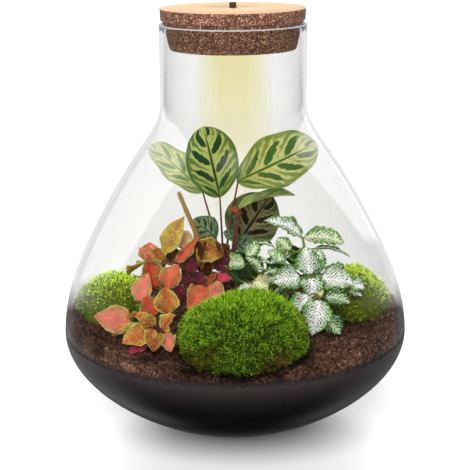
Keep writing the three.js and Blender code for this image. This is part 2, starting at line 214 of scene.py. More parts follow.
@dataclass(frozen=True)
class SmokeCoat(Finish):
    """A smoke-black lacquer, sprayed on the outside of the bowl and faded out at its upper edge.

    The eye gets a satin charcoal, darker towards the foot as painted shade, which thins to brown soil
    over its last few millimetres.

    Attributes:
        deep: the lacquer's colour at the foot, darkened there as painted shade.
        thin: the lacquer's colour near its upper edge, where the painted shade is lightest.
        full_height: below this height the coat hides the glass.
        clear_height: above this height there is no coat.
        mottle: size of the spray's mottle, which breaks the edge of the fade.
        wander: how far the mottle moves that edge.
        foot_shade_power: the power of the height that sets how fast the painted shade lifts.
        roughness: a satin spray.
    """

    deep: str = "#030304"
    thin: str = "#312b2a"
    full_height: float = 71 * MM
    clear_height: float = 78 * MM
    mottle: float = 3.03 * MM
    wander: float = 1.2 * MM
    foot_shade_power: float = 6.5
    roughness: float = 0.22

    def surface(self, add: Adder) -> bpy.types.Node:
        """Adds the lacquer and its faded edge. See Finish.surface."""
        place = add("TexCoord").outputs["Object"]
        height = add("SeparateXYZ", [place]).outputs["Z"]
        mottle = add("TexNoise", {"Vector": place, "Scale": 1 / self.mottle, "Detail": 3.0})
        edge = add("Math ADD", [height, add("Math MULTIPLY", [mottle, self.wander])])
        fade = add("MapRange", [edge, self.full_height, self.clear_height], interpolation_type="SMOOTHSTEP")
        # painted shade: the colour darkens from thin to deep towards the foot, by height alone
        rise = add("Math DIVIDE", [height, self.full_height], use_clamp=True)
        colour = add("Mix RGBA", [add("Math POWER", [rise, self.foot_shade_power]), self.deep, self.thin])
        # a satin spray mirrors the white table only where the line of sight runs along the wall
        satin = {"Roughness": self.roughness, "Specular IOR Level": 0.5}
        lacquer = add("BsdfPrincipled", satin | {"Base Color": colour})
        return add("MixShader", [fade, lacquer, add("BsdfTransparent")])


@dataclass(frozen=True)
class GranulatedCork(Finish):
    """Agglomerated cork: granules pressed with resin, the face sanded fine and the sides left coarse.

    The eye gets tightly packed crumbs in tan, red-brown and almost black, with dark seams.

    Attributes:
        grain: the granules' size.
        stops: the granules' colours from darkest to palest.
        seam: the dark joint between granules.
        relief: the bump's strength.
    """

    grain: float = 0.9 * MM
    stops: tuple[tuple[float, str], ...] = (
        (0.0, "#4a2a1d"),
        (0.35, "#7a4f3d"),
        (0.7, "#a4715a"),
        (1.0, "#dcae8e"),
    )
    seam: str = "#2f190f"
    relief: float = 0.5

    def surface(self, add: Adder) -> bpy.types.Node:
        """Adds the granules, their seams and their relief. See Finish.surface."""
        place = add("TexCoord").outputs["Object"]
        warp = add("TexNoise", {"Vector": place, "Scale": 0.5 / self.grain, "Detail": 2.0})
        shift = add("VectorMath MULTIPLY", [warp.outputs["Color"], (0.5 * self.grain,) * 3])
        bent = add("VectorMath ADD", [place, shift])
        cells = add("TexVoronoi", {"Vector": bent, "Scale": 1 / self.grain})
        tone = add("SeparateColor", [cells.outputs["Color"]]).outputs["Red"]
        crumb = add("ValToRGB", [tone], stops=self.stops)
        joints = add("TexVoronoi", {"Vector": bent, "Scale": 1 / self.grain}, feature="DISTANCE_TO_EDGE")
        gap = add("MapRange", [joints.outputs["Distance"], 0.02, 0.16, 1.0, 0.0])
        colour = add("Mix RGBA", [gap, crumb, self.seam])
        fine = add("TexNoise", {"Vector": place, "Scale": 3 / self.grain, "Detail": 4.0})
        speck = add("MapRange", [fine, *NOISE_SPAN, 0.78, 1.18])
        toned = add("VectorMath SCALE", [colour, speck])
        height = add("Math ADD", [joints.outputs["Distance"], fine])
        bump = add("Bump", {"Strength": self.relief, "Distance": 0.3 * MM, "Height": height})
        return add("BsdfPrincipled", {"Base Color": toned, "Roughness": 0.88, "Normal": bump})


@dataclass(frozen=True)
class PottingSoil(Finish):
    """Damp peat and coir: dark crumbs matted with reddish fibres, never flat in colour.

    Attributes:
        stops: colours from the wet hollows to the dry fibres.
        crumb: size of the crumbs.
        moss_shadow_spot: middle of the painted shadow round the front moss, right and back.
        moss_shadow_reach: radii of that painted shadow's dark and lit edges.
        raggedness: how far the soil's patches move those edges.
    """

    stops: tuple[tuple[float, str], ...] = (
        (0.0, "#140c0a"),
        (0.35, "#3b271f"),
        (0.58, "#6c4b3d"),
        (0.8, "#9c7460"),
        (1.0, "#d0ac98"),
    )
    crumb: float = 2.0 * MM
    moss_shadow_spot: tuple[float, float] = (4 * MM, -76 * MM)
    moss_shadow_reach: tuple[float, float] = (42 * MM, 56 * MM)
    raggedness: float = 22 * MM

    def surface(self, add: Adder) -> bpy.types.Node:
        """Adds the mottled brown, its crumbs and the painted shadow by the front moss. See Finish.surface."""
        place = add("TexCoord").outputs["Object"]
        patches = add("TexNoise", {"Vector": place, "Scale": 0.12 / self.crumb, "Detail": 3.0})
        matted = {"Detail": 6.0, "Roughness": 0.7}
        crumbs = add("TexNoise", matted | {"Vector": place, "Scale": 1 / self.crumb})
        both = add("Mix FLOAT", [0.3, crumbs, patches])
        level = add("MapRange", [both, 0.36, 0.66])
        colour = add("ValToRGB", [level], stops=self.stops)
        # painted shadow: the soil darkens round the front moss, as though the moss shaded it
        away = add("VectorMath SUBTRACT", [place, (*self.moss_shadow_spot, 0.0)])
        distance = add("VectorMath LENGTH", [add("VectorMath MULTIPLY", [away, (1.0, 1.0, 0.0)])])
        ragged = add("Math MULTIPLY_ADD", [patches, self.raggedness, distance])
        dark_edge, lit_edge = (radius + self.raggedness / 2 for radius in self.moss_shadow_reach)
        unshaded = add("MapRange", [ragged, dark_edge, lit_edge, 0.15, 1.0])
        # damp holds the soil's colour under that painted shadow
        damp = add("VectorMath SCALE", [colour, unshaded])
        bump = add("Bump", {"Strength": 1.0, "Distance": 1.2 * MM, "Height": crumbs})
        return add("BsdfPrincipled", {"Base Color": damp, "Roughness": 0.95, "Normal": bump})


@dataclass(frozen=True)
class CushionMoss(Finish):
    """Living cushion moss: dark between the shoots with painted shade, and bright at their tips, partly as
    painted highlight.

    Each shoot carries two values: tip, from its foot to its point, and tone, its own shade with painted light
    on the cushion's top.

    Attributes:
        deep: the shade between the shoots.
        green: the shoots' sides.
        bright: their tips, partly painted highlight.
        dry: old shoots.
    """

    deep: str = "#0d1503"
    green: str = "#376808"
    bright: str = "#a4cc34"
    dry: str = "#6f6420"

    def surface(self, add: Adder) -> bpy.types.Node:
        """Adds the colours along and among the shoots. See Finish.surface."""
        tip, tone, age = (add("Attribute", attribute_name=n).outputs["Fac"] for n in ("tip", "tone", "age"))
        shoot = add("ValToRGB", [tip], stops=[(0.0, self.deep), (0.5, self.green), (0.9, self.bright)])
        worn = add("Mix RGBA", [age, shoot, self.dry])
        # tone scales the colour: random clumps, plus painted light that brightens the cushion's top
        colour = add("VectorMath SCALE", [worn, add("MapRange", [tone, 0.0, 1.0, 0.22, 2.2])])
        return add("BsdfPrincipled", {"Base Color": colour, "Roughness": 0.6, "Specular IOR Level": 0.3})


@dataclass(frozen=True)
class CalatheaBlade(Finish):
    """A peacock calathea leaf: a satin cuticle over a pale field, dark ovals set in turn along the
    midrib, green streaks between them, fine lines along the side veins, and a green margin.

    Attributes:
        pale: the field.
        line: the fine lines in it.
        oval: the ovals and the midrib.
        margin: the green border.
        rim: the outermost edge.
        length: a leaf's usual length, from which the two spacings count.
        line_spacing: distance between the fine lines.
        feather_spacing: distance between the tongues of the green margin.
        ovals: large ovals on each side.
        sweep: how far a side vein runs on towards the tip, as a share of the length.
        margin_start: where the border begins, as a share of the half-width.
        paleness: how much of the field between the fine lines stays pale, from 0 to 1.
    """

    pale: str = "#dbe08a"
    line: str = "#8aa54c"
    oval: str = "#1f4a2c"
    margin: str = "#44752f"
    rim: str = "#2f5c28"
    length: float = 55 * MM
    line_spacing: float = 1.44 * MM
    feather_spacing: float = 5.574 * MM
    ovals: float = 4.0
    sweep: float = 0.34
    margin_start: float = 0.76
    paleness: float = 0.55

    def surface(self, add: Adder) -> bpy.types.Node:
        """Adds the leaf's markings, laid out along its side veins. See Finish.surface."""
        share, edge = (add("Attribute", attribute_name=n).outputs["Fac"] for n in ("share", "edge"))
        spot = add("CombineXYZ", [share, edge, 0.0])
        sway = add("TexNoise", {"Vector": spot, "Scale": 7.0, "Detail": 2.0})
        wander = add("MapRange", [sway, 0.0, 1.0, -0.045, 0.045])
        out = add("Math ABSOLUTE", [edge])
        run = add("Math MULTIPLY", [add("Math POWER", [out, 1.25]), self.sweep])
        vein = add("Math ADD", [add("Math SUBTRACT", [share, run]), wander])
        # the ovals of one side stand midway between those of the other
        turn = add("Math MULTIPLY", [add("Math GREATER_THAN", [edge, 0.0]), 0.5])
        place = add("Math MULTIPLY_ADD", [vein, self.ovals, turn])
        off_line = add("Math SUBTRACT", [add("Math FLOORED_MODULO", [place, 1.0]), 0.5])
        apart = add("Math ABSOLUTE", [off_line])
        thick = add("Math DIVIDE", [off_line, 0.27])
        long = add("Math DIVIDE", [add("Math SUBTRACT", [out, 0.4]), 0.34])
        squares = [add("Math MULTIPLY", [v, v]) for v in (thick, long)]
        oval = add("MapRange", [add("Math ADD", squares), 0.75, 1.1, 1.0, 0.0])
        # a green streak widens outwards midway between two ovals
        spread = add("MapRange", [out, 0.12, 0.95, 0.5, 0.3])
        streak = add("MapRange", [add("Math SUBTRACT", [apart, spread]), -0.04, 0.04])
        rib_width = add("MapRange", [share, 0.0, 1.0, 0.07, 0.02])
        dark = add("Math MAXIMUM", [oval, add("Math LESS_THAN", [out, rib_width])])

        waves = (2 * math.pi * self.length / spacing for spacing in (self.line_spacing, self.feather_spacing))
        stripes, feather = (add("Math SINE", [add("Math MULTIPLY", [vein, wave])]) for wave in waves)
        thin = add("MapRange", [stripes, 2 * self.paleness - 1.0, 2 * self.paleness - 0.15, 0.0, 0.88])
        tongue = add("MapRange", [apart, 0.1, 0.34, 0.06, -0.1])
        ragged = add("Math MULTIPLY_ADD", [feather, 0.04, add("Math ADD", [out, tongue])])
        ends = [ragged, self.margin_start, self.margin_start + 0.1]
        border = add("MapRange", ends, interpolation_type="SMOOTHSTEP")
        outermost = add("MapRange", [out, 0.86, 1.0])
        blotch = add("TexNoise", {"Vector": spot, "Scale": 22.0, "Detail": 3.0})
        patchy = add("MapRange", [blotch, 0.35, 0.7, 0.0, 0.5])
        ground = add("Mix RGBA", [thin, self.pale, self.line])
        mottled = add("Mix RGBA", [patchy, ground, self.line])
        edged = add("Mix RGBA", [outermost, self.margin, self.rim])
        brushed = add("Mix RGBA", [add("Math MULTIPLY", [thin, 0.4]), edged, self.pale])
        field_colour = add("Mix RGBA", [border, mottled, brushed])
        streaked = add("Mix RGBA", [add("Math MULTIPLY", [streak, 0.85]), field_colour, self.margin])
        marked = add("Mix RGBA", [dark, streaked, self.oval])
        foot = add("MapRange", [share, 0.0, 0.3, 0.6, 0.0])
        colour = add("Mix RGBA", [foot, marked, self.margin])
        bump = add("Bump", {"Strength": 0.5, "Distance": 0.25 * MM, "Height": stripes})
        return add("BsdfPrincipled", {"Base Color": colour, "Roughness": 0.42, "Normal": bump})


@dataclass(frozen=True)
class FittoniaBlade(Finish):
    """A nerve plant leaf: coloured veins over green, with a plain green margin.

    Attributes:
        vein: the colour of the veins, which cover most of the leaf.
        green: the colour left between the veins.
        margin: the border.
        flush: the colour that the leaf turns to towards its border.
        flushing: how far it turns, from 0 to 1.
        spacing: distance between side veins along the midrib, in millimetres.
        openness: how much of the leaf between two veins stays green, from 0 to 1.
        cell: length of one green fleck along the side veins, in millimetres.
        patches: how far patches of the leaf turn to the border's colour, from 0 to 1.
        gaps: how much of the green the veins cross, from 0.3 to 0.6.
        blotch: size of the leaf's uneven patches.
    """

    vein: str = "#d9605c"
    green: str = "#6f7f3c"
    margin: str = "#9aa852"
    flush: str = "#b0904c"
    flushing: float = 0.55
    spacing: float = 2.5
    openness: float = 0.5
    cell: float = 2.2
    patches: float = 0.45
    gaps: float = 0.42
    blotch: float = 5.88 * MM

    def surface(self, add: Adder) -> bpy.types.Node:
        """Adds the net of veins, drawn out along the side veins. See Finish.surface."""
        names = ("edge", "along", "across")
        edge, along, across = (add("Attribute", attribute_name=n).outputs["Fac"] for n in names)
        spot = add("CombineXYZ", [along, across, 0.0])
        sway = add("TexNoise", {"Vector": spot, "Scale": 0.4, "Detail": 3.0})
        wander = add("MapRange", [sway, 0.0, 1.0, -2.2, 2.2])
        out = add("Math ABSOLUTE", [edge])
        reach = add("Math ABSOLUTE", [across])
        vein = add("Math MULTIPLY_ADD", [reach, -0.9, along])
        steps = add("Math DIVIDE", [add("Math ADD", [vein, wander]), self.spacing])

        def lines(offset: float, width: Feed) -> bpy.types.Node:
            """Adds green lines midway between side veins.

            Args:
                offset: where they sit, as a share of the spacing.
                width: their width as a share of the spacing.

            Returns:
                One on the lines and zero beside them.
            """
            within = add("Math FLOORED_MODULO", [add("Math ADD", [steps, offset]), 1.0])
            apart = add("Math ABSOLUTE", [add("Math SUBTRACT", [within, 0.5])])
            beyond = add("Math SUBTRACT", [apart, add("Math MULTIPLY", [width, 0.5])])
            return add("MapRange", [beyond, -0.06, 0.06, 1.0, 0.0])

        widening = add("MapRange", [out, 0.05, 0.9, 0.7 * self.openness, 1.5 * self.openness])
        forks = add("MapRange", [out, 0.45, 0.95, 0.0, 0.8 * self.openness])
        green_lines = add("Math MAXIMUM", [lines(0.0, widening), lines(0.5, forks)])
        # the side veins cross the green at uneven steps and leave flecks
        fleck_spot = add("CombineXYZ", [steps, add("Math DIVIDE", [reach, self.cell]), edge])
        flecks = add("TexNoise", {"Vector": fleck_spot, "Scale": 1.6, "Detail": 1.0})
        broken = add("MapRange", [flecks, self.gaps, self.gaps + 0.08])
        midrib = add("MapRange", [reach, 0.2, 0.5])
        green = add("Math MULTIPLY", [add("Math MULTIPLY", [green_lines, broken]), midrib])
        place = add("TexCoord").outputs["Object"]
        blotch = add("TexNoise", {"Vector": place, "Scale": 1 / self.blotch, "Detail": 5.0})
        shade = add("MapRange", [blotch, *NOISE_SPAN, 0.8, 1.3])
        turning = add("MapRange", [blotch, 0.5, 0.62, 0.0, self.patches])
        outwards = add("MapRange", [out, 0.25, 0.95, 0.0, self.flushing])
        flushed = add("Math ADD", [turning, outwards], use_clamp=True)
        blush = add("Mix RGBA", [flushed, self.vein, self.flush])
        ground = add("Mix RGBA", [green, blush, self.green])
        border = add("MapRange", [out, 0.88, 0.94])
        bordered = add("Mix RGBA", [border, ground, self.margin])
        colour = add("VectorMath SCALE", [bordered, shade])
        bump = add("Bump", {"Strength": 0.6, "Distance": 0.35 * MM, "Height": green})
        return add("BsdfPrincipled", {"Base Color": colour, "Roughness": 0.48, "Normal": bump})


@dataclass(frozen=True)
class PlantStem(Finish):
    """A living stalk: a smooth skin that turns from one colour at the soil to another at the leaf.

    Attributes:
        low: colour near the soil.
        high: colour near the leaves.
        low_height: height of the low colour.
        high_height: height of the high colour.
        streak: size of the skin's faint streaks.
    """

    low: str = "#6a3a34"
    high: str = "#8c5148"
    low_height: float = 90 * MM
    high_height: float = 170 * MM
    streak: float = 2.38 * MM

    def surface(self, add: Adder) -> bpy.types.Node:
        """Adds the colour along the stalk and its fine streaks. See Finish.surface."""
        place = add("TexCoord").outputs["Object"]
        height = add("SeparateXYZ", [place]).outputs["Z"]
        rise = add("MapRange", [height, self.low_height, self.high_height])
        streaks = add("TexNoise", {"Vector": place, "Scale": 1 / self.streak, "Detail": 3.0})
        shade = add("MapRange", [streaks, *NOISE_SPAN, 0.75, 1.2])
        colour = add("VectorMath SCALE", [add("Mix RGBA", [rise, self.low, self.high]), shade])
        return add("BsdfPrincipled", {"Base Color": colour, "Roughness": 0.5})


@dataclass(frozen=True)
class MouldedPlastic(Finish):
    """Injection-moulded ABS with a fine spark-eroded texture, which gives a soft even sheen.

    Attributes:
        colour: the plastic.
        roughness: the texture's roughness.
        sheen: strength of its gloss, where 0.5 is plain plastic.
        grain: the texture's size. The real one is about 0.1 mm, drawn larger so that it shows.
    """

    colour: str = "#f0eee6"
    roughness: float = 0.45
    sheen: float = 0.5
    grain: float = 0.4 * MM

    def surface(self, add: Adder) -> bpy.types.Node:
        """Adds the plastic and its texture. See Finish.surface."""
        place = add("TexCoord").outputs["Object"]
        grain = add("TexNoise", {"Vector": place, "Scale": 1 / self.grain, "Detail": 2.0})
        bump = add("Bump", {"Strength": 0.2, "Distance": 0.05 * MM, "Height": grain})
        rough = add("MapRange", [grain, *NOISE_SPAN, self.roughness - 0.08, self.roughness + 0.08])
        skin = {"Base Color": self.colour, "Roughness": rough, "Normal": bump}
        return add("BsdfPrincipled", skin | {"Specular IOR Level": self.sheen})


@dataclass(frozen=True)
class LampLens(Finish):
    """Opal polycarbonate over warm white chips, which spreads their light to an even glow.

    Attributes:
        colour: the light.
        strength: its radiance.
        mottle: size of the opal's cloudy patches.
    """

    colour: str = "#ffe9a0"
    strength: float = 5.0
    mottle: float = 1.43 * MM

    def surface(self, add: Adder) -> bpy.types.Node:
        """Adds the glow and the opal's faint mottle. See Finish.surface."""
        place = add("TexCoord").outputs["Object"]
        mottle = add("TexNoise", {"Vector": place, "Scale": 1 / self.mottle, "Detail": 2.0})
        opal = add("ValToRGB", [mottle], stops=[(0.3, "#f1e6c4"), (0.7, "#fff6da")])
        glow = {"Emission Color": self.colour, "Emission Strength": self.strength}
        return add("BsdfPrincipled", glow | {"Base Color": opal, "Roughness": 0.35})


@dataclass(frozen=True)
class LampGlow(Finish):
    """The lamp's warm light in the damp air of the neck: a faint yellow veil that fades downwards.

    Attributes:
        tint: what one layer of the veil lets through at its top.
        top: height where the veil is strongest.
        foot: height where it has faded.
    """

    tint: str = "#fefdf6"
    top: float = 272 * MM
    foot: float = 140 * MM

    def surface(self, add: Adder) -> bpy.types.Node:
        """Adds the veil. See Finish.surface."""
        height = add("SeparateXYZ", [add("TexCoord").outputs["Object"]]).outputs["Z"]
        strong = add("MapRange", [height, self.foot, self.top])
        return add("BsdfTransparent", [add("Mix RGBA", [strong, "#ffffff", self.tint])])


@dataclass(frozen=True)
class SpunSteel(Finish):
    """The drawn steel can of a flat cell, with fine marks that spread its highlight.

    Attributes:
        mark: the marks' size.
    """

    mark: float = 1.11 * MM

    def surface(self, add: Adder) -> bpy.types.Node:
        """Adds the steel and its fine marks. See Finish.surface."""
        place = add("TexCoord").outputs["Object"]
        marks = add("TexNoise", {"Vector": place, "Scale": 1 / self.mark, "Detail": 3.0})
        rough = add("MapRange", [marks, *NOISE_SPAN, 0.22, 0.4])
        return add("BsdfPrincipled", {"Base Color": "#b9bcc0", "Metallic": 1.0, "Roughness": rough})


@dataclass(frozen=True)
class FiredClay(Finish):
    """Expanded clay pebbles, fired matt and red-brown.

    Attributes:
        pebble: the pebbles' size.
        stops: their colours.
    """

    pebble: float = 6 * MM
    stops: tuple[tuple[float, str], ...] = ((0.0, "#5d3a28"), (1.0, "#9a6a4c"))

    def surface(self, add: Adder) -> bpy.types.Node:
        """Adds the pebbles' colours and relief. See Finish.surface."""
        place = add("TexCoord").outputs["Object"]
        cells = add("TexVoronoi", {"Vector": place, "Scale": 1 / self.pebble})
        tone = add("SeparateColor", [cells.outputs["Color"]]).outputs["Red"]
        colour = add("ValToRGB", [tone], stops=self.stops)
        bump = add("Bump", {"Distance": 1.5 * MM, "Height": cells.outputs["Distance"]}, invert=True)
        return add("BsdfPrincipled", {"Base Color": colour, "Roughness": 0.9, "Normal": bump})


@dataclass(frozen=True)
class StudioFloor(Finish):
    """Seamless white studio paper, lit until it reads as pure white, and left out of mirror images."""

    def surface(self, add: Adder) -> bpy.types.Node:
        """Adds the paper. See Finish.surface."""
        plain = {"Roughness": 0.9, "Specular IOR Level": 0.0}
        paper = add("BsdfPrincipled", plain | {"Base Color": "#ffffff"})
        mirror_seen = add("Math GREATER_THAN", [add("LightPath").outputs["Glossy Depth"], 0.5])
        return add("MixShader", [mirror_seen, paper, add("BsdfTransparent")])


class MeshPile:
    """Closed shells gathered into one mesh, with a value at each corner for each name given."""

    def __init__(self, *value_names: str) -> None:
        """Starts an empty pile.

        Args:
            value_names: names of the per-corner values that the finish reads.
        """
        self._vertices: list[np.ndarray] = []
        self._faces: list[np.ndarray] = []
        self._values: dict[str, list[np.ndarray]] = {name: [] for name in value_names}
        self._count = 0

    def add(self, vertices: np.ndarray, faces: np.ndarray, **values: np.ndarray | float) -> None:
        """Adds a shell, or many alike.

        Args:
            vertices: corner places, one row each.
            faces: corner numbers, three or four in a row, counted from this shell's first.
            values: each named value, one for all corners or one for each.
        """
        self._vertices.append(vertices)
        self._faces.append(faces + self._count)
        for name, kept in self._values.items():
            kept.append(np.broadcast_to(values[name], (len(vertices),)))
        self._count += len(vertices)

    def build(self, name: str, finish: Finish, smooth: bool = True) -> bpy.types.Object:
        """Makes the mesh object.

        Args:
            name: the object's name.
            finish: its finish.
            smooth: whether its faces are shaded as one curved surface.

        Returns:
            The new object, riding on the body.
        """
        mesh = bpy.data.meshes.new(name)
        sizes = np.concatenate([np.full(len(f), f.shape[1]) for f in self._faces])
        corners = np.concatenate([f.ravel() for f in self._faces])
        vertices = np.concatenate(self._vertices)
        mesh.vertices.add(len(vertices))
        mesh.vertices.foreach_set("co", vertices.astype(np.float32).ravel())
        mesh.loops.add(len(corners))
        mesh.loops.foreach_set("vertex_index", corners.astype(np.int32))
        mesh.polygons.add(len(sizes))
        mesh.polygons.foreach_set("loop_start", (np.cumsum(sizes) - sizes).astype(np.int32))
        mesh.update(calc_edges=True)
        mesh.validate()
        mesh.polygons.foreach_set("use_smooth", np.full(len(mesh.polygons), smooth))
        for value_name, kept in self._values.items():
            attribute = mesh.attributes.new(value_name, "FLOAT", "POINT")
            attribute.data.foreach_set("value", np.concatenate(kept).astype(np.float32))
        mesh.materials.append(finish.material())
        made = bpy.data.objects.new(name, mesh)
        bpy.context.scene.collection.objects.link(made)
        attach(made, BODY)
        LOG.info("%s: %d triangles", name, np.sum(sizes - 2))
        return made


def build_shell(
    name: str, finish: Finish, vertices: np.ndarray, faces: np.ndarray, smooth: bool = True
) -> bpy.types.Object:
    """Makes a piece from one shell, or from many alike. See MeshPile."""
    pile = MeshPile()
    pile.add(vertices, faces)
    return pile.build(name, finish, smooth)


def unit(rows: np.ndarray) -> np.ndarray:
    """Scales each row of an array to length one."""
    return rows / np.maximum(np.linalg.norm(rows, axis=-1, keepdims=True), 1e-12)


def grid_faces(rows: int, columns: int, closed: bool) -> np.ndarray:
    """Numbers the four-cornered faces of a grid of corners.

    Args:
        rows: rows of corners.
        columns: corners in a row.
        closed: whether each row's last corner joins its first.

    Returns:
        One row of four corner numbers for each face.
    """
    steps = columns if closed else columns - 1
    row, column = np.meshgrid(np.arange(rows - 1), np.arange(steps), indexing="ij")
    first = (row * columns + column).ravel()
    second = (row * columns + (column + 1) % columns).ravel()
    return np.stack([first, second, second + columns, first + columns], axis=1)


def circle(sides: int) -> np.ndarray:
    """Corners of a circle of radius one, as rows of x and y."""
    angles = np.linspace(0, 2 * math.pi, sides, endpoint=False)
    return np.column_stack([np.cos(angles), np.sin(angles)])


def laid(flat: np.ndarray, height: float) -> np.ndarray:
    """Lays rows of x and y level at a height."""
    return np.column_stack([flat, np.full(len(flat), height)])


def to_axis(profile: np.ndarray) -> np.ndarray:
    """Runs a profile's two ends level to the axis, which closes the turned shell."""
    return np.vstack([[ON_AXIS, profile[0][1]], profile, [ON_AXIS, profile[-1][1]]])


def lathe(profile: np.ndarray, segments: int) -> tuple[np.ndarray, np.ndarray]:
    """Turns a profile round the upright axis.

    Args:
        profile: rows of radius and height, which start and end on the axis or join up.
        segments: steps round the axis.

    Returns:
        Corners and faces, with the two ends on the axis closed by small discs.
    """
    ring = circle(segments)
    rows = [laid(ring * radius, height) for radius, height in profile]
    return np.concatenate(rows), grid_faces(len(profile), segments, closed=True)


def tube(path: np.ndarray, radii: np.ndarray, sides: int) -> tuple[np.ndarray, np.ndarray]:
    """Sweeps a round section along a path and closes its ends to a blunt point.

    Args:
        path: places along the middle.
        radii: the section's radius at each place.
        sides: sides of the section.

    Returns:
        Corners and faces.
    """
    tangents = unit(np.gradient(path, axis=0))
    across = np.cross(tangents[0], [0.31, 0.87, 0.38])
    rings = []
    x, y = circle(sides).T
    for place, tangent, radius in zip(path, tangents, radii):
        across = unit(across - tangent * np.dot(across, tangent))
        up = np.cross(tangent, across)
        rings.append(place + radius * (np.outer(x, across) + np.outer(y, up)))
    start = path[0] + 0.05 * (rings[0] - path[0])
    end = path[-1] + 0.05 * (rings[-1] - path[-1])
    rings = [start - tangents[0] * radii[0] * 0.3, *rings, end + tangents[-1] * radii[-1] * 0.3]
    return np.concatenate(rings), grid_faces(len(rings), sides, closed=True)


def smooth_path(points: np.ndarray, steps: int) -> np.ndarray:
    """Runs a smooth curve through points.

    Args:
        points: places that the curve passes, one row each.
        steps: places to return for each gap between two points.

    Returns:
        Places along the curve.
    """
    padded = np.vstack([2 * points[0] - points[1], points, 2 * points[-1] - points[-2]])
    places = []
    for i in range(len(points) - 1):
        before, start, end, after = padded[i : i + 4]
        t = np.linspace(0, 1, steps, endpoint=False)[:, None]
        bend = 2 * before - 5 * start + 4 * end - after
        twist = 3 * start - before - 3 * end + after
        places.append(0.5 * (2 * start + (end - before) * t + bend * t**2 + twist * t**3))
    return np.vstack([*places, points[-1:]])


def ripple(places: np.ndarray, scale: float, seed: float) -> np.ndarray:
    """Smooth noise at each place.

    Args:
        places: places, one row each.
        scale: size of a ripple.
        seed: moves the noise, so that two pieces differ.

    Returns:
        A value from about -1 to 1 for each place.
    """
    shift = Vector((seed * 13.7, seed * 7.1, seed * 3.3))
    return np.array([noise.noise(Vector(p) / scale + shift) for p in places])


def ripples(places: np.ndarray, layers: Sequence[tuple[float, float]], seed: float) -> np.ndarray:
    """Several layers of smooth noise added up.

    Args:
        places: places, one row each.
        layers: strength and size of each layer's ripples.
        seed: moves the first layer. Each later one takes the next seed.

    Returns:
        A value for each place.
    """
    return sum(strength * ripple(places, scale, seed + i) for i, (strength, scale) in enumerate(layers))


def node_corners(name: str) -> np.ndarray:
    """Corners of a node of the frame, each place once."""
    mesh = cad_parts[name].data
    places = np.empty(len(mesh.vertices) * 3, np.float32)
    mesh.vertices.foreach_get("co", places)
    return np.unique(np.round(places.reshape(-1, 3).astype(float), 6), axis=0)


@dataclass(frozen=True)
class JarOutline:
    """The jar's outside from foot to rim: bowl, shoulder and fillet as cubic curves, then a neck.

    Attributes:
        bowl: control points of radius and height in millimetres, foot to widest ring.
        shoulder: the same from the widest ring up the shoulder.
        fillet: the same from the shoulder into the neck.
        rim: height of the rim in millimetres.
        wall: the glass's thickness in millimetres.
    """

    bowl: tuple[tuple[float, float], ...] = ((35, 0), (75, 12), (123, 41), (123, 72.8))
    shoulder: tuple[tuple[float, float], ...] = ((123, 72.8), (123, 100), (109.5, 131), (88.4, 168.4))
    fillet: tuple[tuple[float, float], ...] = ((88.4, 168.4), (62.6, 213.4), (51.1, 218), (51.1, 236))
    rim: float = 290.2
    wall: float = 3.0

    def outside(self, steps: int = 26) -> np.ndarray:
        """Points up the outside, as rows of radius and height.

        Args:
            steps: points on each curve.

        Returns:
            The outline from the foot's edge to just under the rim.
        """
        t = np.linspace(0, 1, steps, endpoint=False)[:, None]
        rows = []
        for curve in (self.bowl, self.shoulder, self.fillet):
            a, b, c, d = np.array(curve, float)
            rows.append((1 - t) ** 3 * a + 3 * t * (1 - t) ** 2 * b + 3 * t**2 * (1 - t) * c + t**3 * d)
        neck = np.linspace(self.fillet[-1][1], self.rim - self.wall / 2, steps // 2)
        rows.append(np.column_stack([np.full(len(neck), self.fillet[-1][0]), neck]))
        return np.vstack(rows) * MM

    def inset(self, distance: float, steps: int = 26) -> np.ndarray:
        """The outline moved inwards, square to the wall.

        Args:
            distance: how far.
            steps: points on each curve.

        Returns:
            The moved outline.
        """
        outline = self.outside(steps)
        along = unit(np.gradient(outline, axis=0))
        moved = outline + distance * np.column_stack([-along[:, 1], along[:, 0]])
        moved[0] = [outline[0][0], distance]
        return moved

    def radius_inside(self, height: float, gap: float) -> float:
        """Inner radius at a height.

        Args:
            height: the height.
            gap: clearance to the glass.

        Returns:
            The radius.
        """
        inner = self.inset(self.wall * MM + gap)
        return float(np.interp(height, inner[:, 1], inner[:, 0]))


OUTLINE = JarOutline()


@dataclass
class Jar:
    """The jar: one blown glass wall with a fire-polished rim, and the smoke coat on its bowl.

    Attributes:
        segments: steps round the axis.
        coat_top: height of the coat's upper edge.
        coat_thickness: the lacquer's thickness.
    """

    segments: int = 160
    coat_top: float = 79 * MM
    coat_thickness: float = 0.12 * MM

    def build(self) -> None:
        """Makes the glass and its coat."""
        inner = OUTLINE.inset(OUTLINE.wall * MM)
        outer = OUTLINE.inset(self.coat_thickness)
        outer[0][1] = self.coat_thickness
        half = (outer[-1][0] - inner[-1][0]) / 2
        middle = (outer[-1][0] + inner[-1][0]) / 2
        # the fire-polished rim, a half round a little fuller than the wall
        turns = np.linspace(0, math.pi, 11)[1:-1]
        rim_foot = outer[-1][1]
        rim_rise = OUTLINE.rim * MM - rim_foot
        rim = np.column_stack([middle + half * np.cos(turns), rim_foot + rim_rise * np.sin(turns)])
        wall = lathe(to_axis(np.vstack([outer, rim, inner[::-1]])), self.segments)
        glass = build_shell("jar_glass", BlownGlass("blown_glass"), *wall)
        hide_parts("glass_jar")

        skin = OUTLINE.outside()
        skin = skin[skin[:, 1] < self.coat_top]
        under = OUTLINE.inset(0.6 * self.coat_thickness)[: len(skin)]
        coat = lathe(to_axis(np.vstack([skin, under[::-1]])), self.segments)
        lacquer = build_shell("bowl_smoke_coat", SmokeCoat("smoke_lacquer"), *coat)
        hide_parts("glass_jar")


